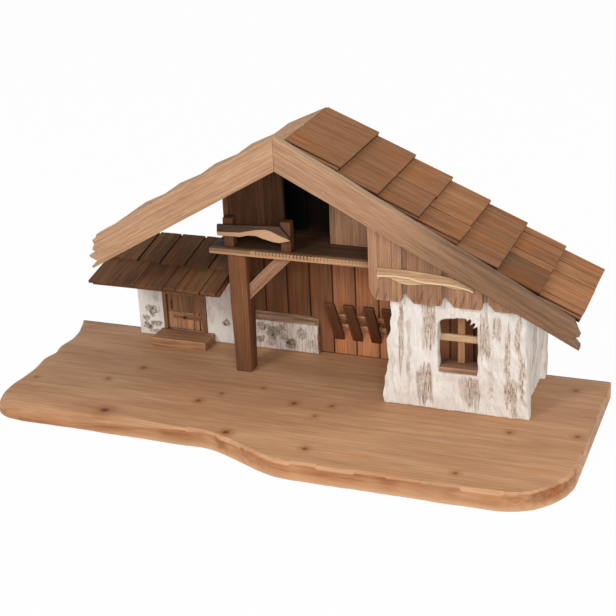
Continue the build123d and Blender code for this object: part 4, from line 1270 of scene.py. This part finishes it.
trim_low, trim_high = node_box("gable_trim")
trim_front, trim_back = trim_low[1], trim_high[1]
trim_x = np.linspace(trim_low[0], trim_high[0], STRIP_SECTIONS)
trim_top = curve(trim_x, (88, 154.2), (117, 154.6), (128, 153.8), (148, 152.3), (157, 150.6), (167, 146),
                 (174, 143), (175, 142.6))
trim_ridge = curve(trim_x, (88, 147.6), (95, 148), (106, 148.4), (117, 148), (127, 145.8), (137, 144.9),
                   (151, 145.1), (161, 144.4), (175, 141.9))
trim_foot = curve(trim_x, (88, 143.6), (92, 145.8), (99, 145.7), (106, 143.3), (111, 141.3), (117, 140.6),
                  (128, 142.2), (137, 143.7), (147, 142.9), (158, 141.2), (175, 140.8))
trim_wave = ripple(trim_x, 8.0, 14) * 0.3
trim_sections = []
for x, top, ridge, foot in zip(trim_x, trim_top, trim_ridge + trim_wave, trim_foot):
    ridge = min(max(ridge, foot + 1.6), top - 2.0)
    trim_sections.append([
        (x, trim_back, foot + 0.4),
        (x, trim_front + 2.0, foot),
        (x, trim_front + 1.5, foot + 0.3),
        (x, trim_front + 0.55, ridge - 1.1),
        (x, trim_front + 0.15, ridge - 0.5),
        (x, trim_front, ridge + 0.2),
        (x, trim_front + 0.2, ridge + 1.0),
        (x, trim_front + 0.9, top - 0.8),
        (x, trim_front + 1.4, top),
        (x, trim_back, top),
    ])
trim_shape = carved_strip(trim_sections)
trim_shape.mark = np.tile([0, 0, 0.5, 0.1, 0.9, 0.8, 0.05, 0.0, 0.3, 0.0], STRIP_SECTIONS)
make("carved_batten", [trim_shape], trim_finish, ["gable_trim"], crease=STRIP_CREASE)

# Loft floor with saw marks in its front edge, deepest in the left half
MARK_PITCH, MARK_WIDE, MARK_FIRST = 3.4, 1.3, 3.0
MARKS_LEFT, MARKS_RIGHT = -42, 76


def saw_teeth(x):
    """How deep the saw marks are."""
    marked = ((x - MARK_FIRST) % MARK_PITCH < MARK_WIDE) & (x > MARKS_LEFT) & (x < MARKS_RIGHT)
    return marked * np.interp(x, [18, 34], [1.0, 0.45])


def floor_shape(points):
    x, y, z = points.T
    front = (y < LOFT_FRONT + 0.4) & (z > LOFT_Z + 2.3)
    y += np.where(front, saw_teeth(x) * 0.7, 0.0)
    return points


# Painted shade on the loft floor: dark on its top inside the loft and on its underside, on the upper part of
# its front edge left of the saw marks, and in the saw marks.
def floor_stain(points):
    x, y, z = points.T
    front = (y < LOFT_FRONT + 1.4) & (z > LOFT_Z + 2.6)
    behind = y > LOFT_FRONT + 1.6
    top = (z > LOFT_TOP - 0.8) & behind
    under = (z < LOFT_Z + 0.8) & behind
    teeth = np.where(x > MARKS_LEFT - 4, 0.1 + 0.7 * saw_teeth(x), 0.5)
    return np.where(front, teeth, 0.0) + np.where(top, 0.93, 0.0) + np.where(under, 0.6, 0.0)


plain_board("loft_planks", "loft_floor", light_finish, along=0, rounding=0.6, step=(0.85, 8.0, 1.2), wave=0.1,
            tone=-0.1, shape=floor_shape, stain=floor_stain)

PANEL_TOP = 220.0
# The left panel's boards are toned dark, as painted shade inside the loft.
for side, finish, tones in (("left", dark_finish, (-1.0, -0.85, -1.1)),
                            ("right", clad_finish, (0.1, 0.35, 0.5))):
    low, high = node_box("loft_wall_" + side)
    joints = np.linspace(low[0], high[0], len(tones) + 1)
    panel = [roof_board((a, low[1], LOFT_TOP), (b, high[1], PANEL_TOP), rounding=0.8, tone=tone)
             for a, b, tone in zip(joints, joints[1:], tones)]
    make("loft_boards_" + side, panel, finish, ["loft_wall_" + side])

low, high = node_box("loft_side_wall")
make("loft_side_board", [roof_board((low[0], low[1], LOFT_TOP), (high[0], high[1], RAW_TOP), tone=-0.1)],
     dark_finish, ["loft_side_wall"])

# Loft rail with a wavy carved band, and its posts
for side in ("left", "right"):
    plain_board("rail_post_" + side, "loft_rail_post_" + side, dark_finish, rounding=1.2, tone=-0.75)

rail_low, rail_high = node_box("loft_rail")
rail_front, rail_back = rail_low[1], rail_high[1]
rail_x = np.linspace(rail_low[0], rail_high[0], STRIP_SECTIONS)
rail_top = curve(rail_x, (-79.5, 168.7), (-17, 171.9), (-8, 162.0), (-6.5, 160.1))
band_top = curve(rail_x, (-79.5, 162.4), (-74, 162.5), (-65, 162.6), (-56, 163.2), (-48, 165.4), (-40, 167.4),
                 (-31, 168.4), (-24, 167.1), (-17, 164.2), (-7, 160.1))
band_low = curve(rail_x, (-79.5, 158.3), (-65, 158.3), (-56, 158.5), (-48, 160.9), (-40, 161.0), (-34, 159.0),
                 (-24, 156.6), (-17, 156.3), (-7, 158.6))
rail_wave = ripple(rail_x, 9.0, 12) * 0.35
rail_sections = []
for x, top, upper, lower, foot in zip(rail_x, rail_top, band_top + rail_wave, band_low + rail_wave * 0.6,
                                      band_low - 0.7):
    upper = min(upper, top - 0.3)
    lower = min(lower, upper - 0.5)
    foot = min(foot, lower - 0.4)
    rail_sections.append([
        (x, rail_back, foot + 0.3),
        (x, rail_front + 2.2, foot),
        (x, rail_front + 1.7, lower - 0.2),
        (x, rail_front + 0.9, lower),
        (x, rail_front, upper - 0.4),
        (x, rail_front + 0.5, upper),
        (x, rail_front + 1.2, top),
        (x, rail_back - 0.6, top),
        (x, rail_back, top - 0.6),
    ])
rail_shape = carved_strip(rail_sections)
band = np.tile([0, 0, 0, 1, 1, 0, 0, 0, 0], STRIP_SECTIONS)
rail_shape.stain = np.where(band, 0.0, 0.93)
rail_shape.mark = np.where(band, 0.9, 0.0)
make("carved_rail", [rail_shape], clad_finish, ["loft_rail"], crease=STRIP_CREASE)

# Front post, slimmer at the foot, and the knee brace
post_low, post_high = node_box("front_post")
post_middle = ((post_low + post_high) / 2)[:2]
POST_FOOT = 16 / 18
POST_TAPER = 68.5
BRACE_CUT = 16.26


def post_shape(points):
    slim = POST_FOOT + (1 - POST_FOOT) * ramp(points[:, 2], base_top, POST_TAPER)
    points[:, :2] = post_middle + (points[:, :2] - post_middle) * slim[:, None]
    return points


plain_board("stable_post", "front_post", dark_finish, rounding=1.3, step=7.0, wave=0.35, tone=-0.35,
            shape=post_shape)
brace_low, brace_high = node_box("knee_brace")
brace = [(brace_low[0], brace_low[2]), (brace_high[0], brace_high[2]),
         (brace_high[0] - BRACE_CUT, brace_high[2]), (brace_low[0], brace_low[2] + BRACE_CUT)]
make("knee_brace_board", [plate(brace, brace_low[1], brace_high[1], 1.0, pi / 4, tone=-0.1)],
     clad_finish, ["knee_brace"])

# Stone plinth with a sloped cap
plinth_low, plinth_high = node_box("plinth")
PLINTH_FRONT_Z = 49.0
PLINTH_WASH = 0.6
PLINTH_ROUND = 5
CAP_MARK = 2.0
plinth_stones = [(-65.5, 41, 11, 9, 0.95), (-54, 36.5, 16, 14, 1), (-68, 28, 9, 7, 0.95),
                 (-35, 26, 12, 12, 1), (-23, 37, 11, 12, 0.75), (-45, 42, 10, 7, 0.7), (-43, 33, 9, 10, 0.6),
                 (-57, 24.5, 11, 6, 0.55), (-14, 28, 8, 9, 0.5)]


def plinth_shape(points):
    x, y, z = points.T
    depth = ramp(y, plinth_low[1], plinth_high[1] - plinth_low[1])
    front = depth < 0.3
    top = PLINTH_FRONT_Z + (plinth_high[2] - PLINTH_FRONT_Z) * depth
    top -= ramp(x, plinth_high[0] - PLINTH_ROUND, PLINTH_ROUND) ** 2 * PLINTH_ROUND
    share = (z - base_top) / (plinth_high[2] - base_top)
    z[:] = base_top + share * (top - base_top)
    y += (lumps(points, 9.0, 31) * 0.5 + lumps(points, 4.0, 32) * 0.3) * front + 0.2 * front
    return points


def plinth_mark(points):
    """Brown cap, the right end darkened with bare board as painted shadow, and a brown wash all over as
    painted shade.
    """
    cap = ramp(points[:, 2], PLINTH_FRONT_Z - 1.5, 1.5)
    end = ramp(points[:, 0], plinth_high[0] - 1.2, 1)
    return np.maximum(CAP_MARK * np.maximum(cap, end), PLINTH_WASH)


plinth = board(plinth_low, plinth_high, rounding=1.2, step=(0.8, 1.5, 0.8), wave=0.15, shape=plinth_shape,
               stain=stones(plinth_stones), mark=plinth_mark, tone=lambda points: brushed(points, 71))
make("plinth_plaster", [plinth], plaster_finish, ["plinth"], crease=PLASTER_CREASE)


# Hay rack: a row of leaning slats, and two rails behind them
def slat_row():
    """Node tree that repeats one slat along a line, each leaning a little differently."""
    n, source = geometry_tree("Row of slats", (("Count", "Int"), ("Pitch", "Vector"), ("Sway", "Vector"),
                                               ("Seed", "Int")))
    line = n.add("GeometryNodeMeshLine", {"Count": source["Count"], "Offset": source["Pitch"]}).outputs[0]
    back = n.vector("MULTIPLY", source["Sway"], (-1, -1, -1))
    sway = n.add("FunctionNodeRandomValue", {0: back, 1: source["Sway"], "Seed": source["Seed"]},
                 data_type="FLOAT_VECTOR").outputs[0]
    turn = n.add("FunctionNodeEulerToRotation", {0: sway}).outputs[0]
    row = n.add("GeometryNodeInstanceOnPoints", {"Points": line, "Instance": source["Geometry"],
                                                 "Rotation": turn}).outputs[0]
    row = n.add("GeometryNodeRealizeInstances", {"Geometry": row}).outputs[0]
    return end_tree(n, row, source["Finish"])


RACK_LEAN = radians(28.0)
RACK_FIRST, RACK_PITCH = 15.0, 19.0
SLAT_COUNT, SLAT_TONE = 4, -0.9
SLAT_WIDTH, SLAT_THICK, SLAT_LENGTH = 10.5, 3.5, 47.5
RACK_RAIL_WIDE, RACK_RAIL_THICK = 7, 3.0
RACK_RAIL_STARTS = (6.4, 22.0)
RACK_RISE = 23.0
rack_z = base_top + RACK_RISE
wall_y = wall_low[1]
# The rack's own axes: X along the wall, Z up the leaning slats, Y in towards the wall
rack_turn = turned((1, 0, 0), (0, cos(RACK_LEAN), sin(RACK_LEAN)), (0, -sin(RACK_LEAN), cos(RACK_LEAN)),
                   (0.0, wall_y, rack_z))


def slat_foot(points):
    """Plumb cut at the foot, so that the slat stands flat against the wall."""
    out = -points[:, 1]
    points[:, 2] -= out / tan(RACK_LEAN) * np.clip(1 - points[:, 2] / 20, 0, 1)
    return points


slat = board((-SLAT_WIDTH / 2, -SLAT_THICK, 0.2), (SLAT_WIDTH / 2, 0, SLAT_LENGTH), rounding=0.8, step=6.0,
             wave=0.3, shape=slat_foot, tone=SLAT_TONE)
slat_mesh = bpy.data.meshes.new("hay_slats")
slat_mesh.from_pydata((slat.points @ rack_turn[:3, :3].T * MM).tolist(), [], slat.faces)
add_values(slat_mesh, "grain", "FLOAT_VECTOR", slat.grain * MM)
for key in ("edge", "tone"):
    add_values(slat_mesh, key, "FLOAT", getattr(slat, key))
slats = placed("hay_slats", slat_mesh)
run_tree(slats, slat_row(), count=SLAT_COUNT, pitch=(RACK_PITCH * MM, 0, 0), sway=(0.0, 0.05, 0.0), seed=3,
         finish=dark_finish)
slats.data.transform(Matrix.Translation(Vector((RACK_FIRST, wall_y, rack_z)) * MM))
dress(slats, ["hay_rack_slats"])

rack_low, rack_high = node_box("hay_rack_rails")
rack_rails = [board((rack_low[0], 0.05, start), (rack_high[0], RACK_RAIL_THICK, start + RACK_RAIL_WIDE),
                    along=0, rounding=0.8, step=6.0, wave=0.3, tone=0.55, turn=rack_turn)
              for start in RACK_RAIL_STARTS]
make("hay_rails", rack_rails, clad_finish, ["hay_rack_rails"])

# Lean-to walls and roof
LEAN_PITCH = radians(14.7)
LEAN_TOP_Z = base_top + 107.1
LEAN_RAW_TOP = 150.0
LEAN_DECK = 4.0
lean_low, lean_high = node_box("lean_to_front_wall")


def lean_underside(y):
    return LEAN_TOP_Z - (back_y - y) * tan(LEAN_PITCH) - LEAN_DECK / cos(LEAN_PITCH)


def under_lean(points):
    share = (points[:, 2] - base_top) / (LEAN_RAW_TOP - base_top)
    points[:, 2] = base_top + share * (lean_underside(points[:, 1]) - 0.15 - base_top)
    return points


panel_low, panel_high = node_box("lean_to_back_panel")
panel_joints = np.linspace(panel_low[0], panel_high[0], 6)
make("lean_back_boards", [board((a, panel_low[1], base_top), (b, panel_high[1], LEAN_RAW_TOP), rounding=1.2,
                                shape=under_lean, tone=random.uniform(-0.3, 0.1))
                          for a, b in zip(panel_joints, panel_joints[1:])],
     dark_finish, ["lean_to_back_panel"])

DOOR_X0, DOOR_X1, DOOR_Z0, DOOR_Z1 = -174.5, -126.5, 25.4, 70.0
DOOR_MIDDLE = (-150.5, 48.7)
lean_head = lean_underside(lean_low[1]) - 0.2


def rectangle(x0, x1, z0, z1):
    return [(x0, z0), (x1, z0), (x1, z1), (x0, z1)]


lean_stones = [(-188.5, 44.5, 11, 11, 1), (-195, 36.5, 7, 6, 0.9), (-194, 27.5, 9, 8, 1),
               (-184, 30.5, 11, 7, 1), (-187, 22.5, 9, 4, 0.7), (-104.5, 40, 8, 7.5, 1),
               (-117, 64, 6, 14, 0.2), (-111, 54, 6, 12, 0.2), (-92, 30, 10, 8, 0.8), (-88, 52, 9, 7, 0.7),
               (-182, 62, 6, 10, 0.3)]
lean_front = holed_wall(rectangle(lean_low[0], lean_high[0], base_top, lean_head),
                        rectangle(DOOR_X0, DOOR_X1, DOOR_Z0, DOOR_Z1), DOOR_MIDDLE, lean_low[1], lean_high[1],
                        rounding=0.5, rough=0.35, seed=21, rays=480, rings=56, stain=stones(lean_stones))
make("lean_plaster", [lean_front], plaster_finish, ["lean_to_front_wall"],
     crease=PLASTER_CREASE)

LEAN_LENGTH, LEAN_TIP, LEAN_BUTT, LEAN_EXPOSURE = 55.0, 1.6, 2.6, 40.4
LEAN_START, LEAN_EAVE, LEAN_FILLET, LEAN_REACH = 0.8, 6.0, 14.0, 92.0
LEAN_DECK_BOARDS = 2
lean_left, lean_right = (corner[0] for corner in node_box("lean_to_roof_deck"))
lean_rise = wedge_rise(LEAN_LENGTH, LEAN_EXPOSURE, LEAN_TIP, LEAN_BUTT)
lean_run = LEAN_REACH / cos(LEAN_PITCH)
lean_ways = (0, -cos(LEAN_PITCH), -sin(LEAN_PITCH)), (0, -sin(LEAN_PITCH), cos(LEAN_PITCH))
lean_turn = turned(lean_ways[0], (1, 0, 0), lean_ways[1], (0, back_y, LEAN_TOP_Z))
lean_shape = eave_shape(LEAN_PITCH, lean_run - LEAN_EAVE, LEAN_FILLET, lean_rise * (LEAN_LENGTH - LEAN_EAVE),
                        LEAN_DECK)
lean_covered = lean_run - (LEAN_START + LEAN_EAVE)
lean_joints = [LEAN_START + lean_covered * k / LEAN_DECK_BOARDS for k in range(LEAN_DECK_BOARDS + 1)]
lean_deck = [board((a, lean_left, -LEAN_DECK), (b, lean_right, 0), along=1, rounding=0.6, step=6.0, wave=0.1,
                   tone=-0.3, shape=lean_shape, turn=lean_turn) for a, b in zip(lean_joints, lean_joints[1:])]
make("lean_deck_boards", lean_deck, dark_finish, ["lean_to_roof_deck"])

# Each course of the lean-to: its name, lower end, gap at the seams, seams and tones
for label, lower, gap, seams, tones in (
        ("upper", lean_run - LEAN_EXPOSURE, 2.2, (-176.5, -152.0, -125.5, -100.0),
         (0.1, 0.0, 0.12, -0.05, 0.05)),
        ("lower", lean_run, 0.9, (-162.5, -132.5, -119.5, -93.5), (-0.1, 0.0, 0.1, 0.3, 0.4))):
    head = lower - LEAN_LENGTH
    upper = max(head, LEAN_START)
    out = lean_rise * (upper - head)
    turn = (0, LEAN_PITCH - atan(lean_rise), -pi / 2)
    seams = (lean_left, *seams, lean_right)
    rows = []
    for a, b, tone in zip(seams, seams[1:], tones):
        start = lean_turn[:3, :3] @ np.array([upper, a, out]) + lean_turn[:3, 3]
        size = ((lower - upper - random.uniform(0.0, 1.6)) / cos(atan(lean_rise)), b - a - gap, LEAN_BUTT)
        rows.append((start, size, turn, tone, random.uniform(-2.0, 2.0), 0.0))
    lay_shingles("lean_split_" + label, rows, lean_ways, lean_shingle_finish, ["lean_to_shingles_" + label],
                 fibre=0.6, ragged=1.4, butt=0.3, sides=0.75)

# Door of the lean-to
plain_board("door_step_block", "door_step", door_finish, along=0, rounding=1.0, tone=0.75)
frame_low, frame_high = node_box("door_frame")
FRAME_WIDTH, FRAME_LAP = 4.0, 0.2
lintel_z = frame_high[2] - FRAME_WIDTH
jamb_ends = ((frame_low[0], frame_low[0] + FRAME_WIDTH), (frame_high[0] - FRAME_WIDTH, frame_high[0]))
jambs = [board((x0, frame_low[1], frame_low[2]), (x1, frame_high[1], lintel_z + FRAME_LAP))
         for x0, x1 in jamb_ends]
lintel = board((frame_low[0], frame_low[1], lintel_z), frame_high, along=0)
make("door_jambs", jambs + [lintel], door_finish, ["door_frame"])
ROUND = np.linspace(0, 2 * pi, 25)[:-1]
PIN_HOLE = 0.86
HINGE_GRAIN, KNOB_GRAIN = 77.0, 31.0


def door_leaf(name, node, body, boards):
    """A door leaf of upright boards, each (left, right, foot, head, tone), with a rounded hinge edge round
    the pin. An end that isn't given is the leaf's own."""
    low, high = node_box(node)
    middle = (low[1] + high[1]) / 2
    radius = (high[1] - low[1]) / 2
    pin = low[0] + radius
    parts = []
    for left, right, foot, head, tone in boards:
        start = (pin if left is None else left, low[1], low[2] if foot is None else foot)
        end = (high[0] if right is None else right, high[1], high[2] if head is None else head)
        parts.append(board(start, end, rounding=0.4, step=4.0, wave=0.06, tone=tone))
    tube = ((radius, low[2]), (radius, high[2]), (PIN_HOLE, high[2]), (PIN_HOLE, low[2]), (radius, low[2]))
    across, deep = np.cos(ROUND), np.sin(ROUND)
    rings = [np.stack([pin + reach * across, middle + reach * deep, np.full(len(ROUND), z)], 1)
             for reach, z in tube]
    parts.append(rings_shape(rings, lambda p: p[:, [2, 0, 1]] + HINGE_GRAIN, caps=False, tone=boards[0][4]))
    make(name, parts, door_finish, [node], body=body)


# The upper leaf has a narrow slot near its hinge, the lower leaf pale strips with slits at its other end
SLOT_LEFT, SLOT_RIGHT, SLOT_FOOT, SLOT_HEAD = -166.4, -164.2, 48.8, 58.6
door_leaf("upper_leaf_boards", "door_upper_leaf", "door_upper", [
    (None, SLOT_LEFT, None, None, -0.1), (SLOT_LEFT, SLOT_RIGHT, None, SLOT_FOOT, -0.1),
    (SLOT_LEFT, SLOT_RIGHT, SLOT_HEAD, None, -0.1), (SLOT_RIGHT, -154.0, None, None, -0.05),
    (-154.0, -143.0, None, None, 0.1), (-143.0, None, None, None, -0.1)])
door_leaf("lower_leaf_boards", "door_lower_leaf", "door_lower", [
    (None, -158.0, None, None, 1.55), (-158.0, -146.4, None, None, 1.75), (-146.4, -141.6, None, None, 2.0),
    (-140.8, -138.4, None, None, 0.5), (-138.4, -135.4, None, None, 1.6), (-133.8, None, None, None, 0.8)])
plain_board("leaf_ledge", "door_ledge", door_finish, body="door_lower", along=0, rounding=0.6,
            tone=lambda points: np.where(points[:, 0] < -149.0, 1.2, 0.3))

knob_low, knob_high = node_box("door_knob")
knob_x, _, knob_z = (knob_low + knob_high) / 2
knob_profile = [(0.05, 0.0), (0.9, 0.0), (0.9, 1.0), (1.5, 1.3), (1.8, 1.9), (1.7, 2.6), (1.2, 3.2),
                (0.5, 3.4), (0.05, 3.4)]
knob_rings = []
for r, d in knob_profile:
    line = np.stack([knob_x + r * np.cos(ROUND), knob_z - r * np.sin(ROUND)], 1)
    knob_rings.append(facing_front(line, knob_high[1] - d))
make("turned_knob", [rings_shape(knob_rings, lambda p: p[:, [1, 0, 2]] + KNOB_GRAIN, stain=0.8)], door_finish,
     ["door_knob"], body="door_lower")

# Stage: pale floor that keeps the object's shadow, white behind it, soft light from the upper left front
FLOOR_HALF, FLOOR_DROP = 4.0, 0.0006
FLOOR_GLOW = 0.97
WHITE, FLOOR_GREY = (1, 1, 1, 1), (0.86, 0.86, 0.86, 1)
SKY_COLOUR, SKY_STRENGTH = (1.0, 0.985, 0.96, 1), 0.5
LAMP_COLOUR = (1.0, 0.98, 0.95)
floor_mesh = bpy.data.meshes.new("floor")
floor_corners = rectangle(-FLOOR_HALF, FLOOR_HALF, -FLOOR_HALF, FLOOR_HALF)
floor_mesh.from_pydata([(x, y, 0) for x, y in floor_corners], [], [(0, 1, 2, 3)])
floor = placed("floor", floor_mesh)
floor.location = (0, 0, -FLOOR_DROP)


def seen(n):
    """1 where the eye looks straight, in a reflection or through glass, 0 for light that falls on things."""
    rays = n.add("LightPath").outputs
    other = n.math("MAXIMUM", rays["Is Glossy Ray"], rays["Is Transmission Ray"])
    return n.math("MAXIMUM", rays["Is Camera Ray"], other)


f = Finish("white floor", 0.9, 0.0)
f.shader.inputs["Base Color"].default_value = FLOOR_GREY
glow = f.add("Emission", {"Color": WHITE, "Strength": 1.0})
shown = f.math("MULTIPLY", seen(f), FLOOR_GLOW)
blend = f.add("MixShader", {0: shown, 1: f.shader.outputs[0], 2: glow.outputs[0]})
f.tree.links.new(blend.outputs[0], f.tree.nodes["Material Output"].inputs[0])
floor_mesh.materials.append(f.material)

world = bpy.data.worlds.new("studio")
world.use_nodes = True
bpy.context.scene.world = world
sky = Nodes(world.node_tree)
light = sky.tree.nodes["Background"]
light.inputs["Color"].default_value = SKY_COLOUR
light.inputs["Strength"].default_value = SKY_STRENGTH
white = sky.add("Background", {"Color": WHITE, "Strength": 1.0})
both = sky.add("MixShader", {0: seen(sky), 1: light.outputs[0], 2: white.outputs[0]})
sky.tree.links.new(both.outputs[0], sky.tree.nodes["World Output"].inputs[0])


def soft_lamp(name, place, aim, size, power):
    lamp = bpy.data.lights.new(name, "AREA")
    lamp.shape = "DISK"
    lamp.size = size
    lamp.energy = power
    lamp.color = LAMP_COLOUR
    stand = placed(name, lamp)
    stand.location = place
    stand.rotation_euler = (Vector(aim) - Vector(place)).to_track_quat("-Z", "Y").to_euler()


soft_lamp("key", (-0.7, -1.6, 1.3), (0, 0, 0.1), 0.6, 14)
soft_lamp("fill", (0.85, -1.6, 0.85), (0, 0, 0.1), 0.8, 13)
soft_lamp("side", (1.3, -0.2, 0.25), (0.2, 0.03, 0.09), 0.5, 1.9)

# Camera at the photograph's angle
CAMERA_PLACE = (0.4575, -1.0960, 0.6102)
azimuth, elevation, roll = radians(21.59), radians(22.93), radians(-2.61)
forward = Vector((-sin(azimuth) * cos(elevation), cos(azimuth) * cos(elevation), -sin(elevation)))
level = Vector((cos(azimuth), sin(azimuth), 0))
upright = level.cross(forward)
right = level * cos(roll) + upright * sin(roll)
up = upright * cos(roll) - level * sin(roll)
lens = bpy.data.cameras.new("camera")
lens.sensor_width = 36.0
lens.lens = 83.11
lens.clip_start = 0.05
camera = placed("camera", lens)
camera_rows = [(right[k], up[k], -forward[k], CAMERA_PLACE[k]) for k in range(3)]
camera.matrix_world = Matrix(camera_rows + [(0, 0, 0, 1)])
bpy.context.scene.camera = camera
bpy.context.scene.view_settings.view_transform = "Standard"
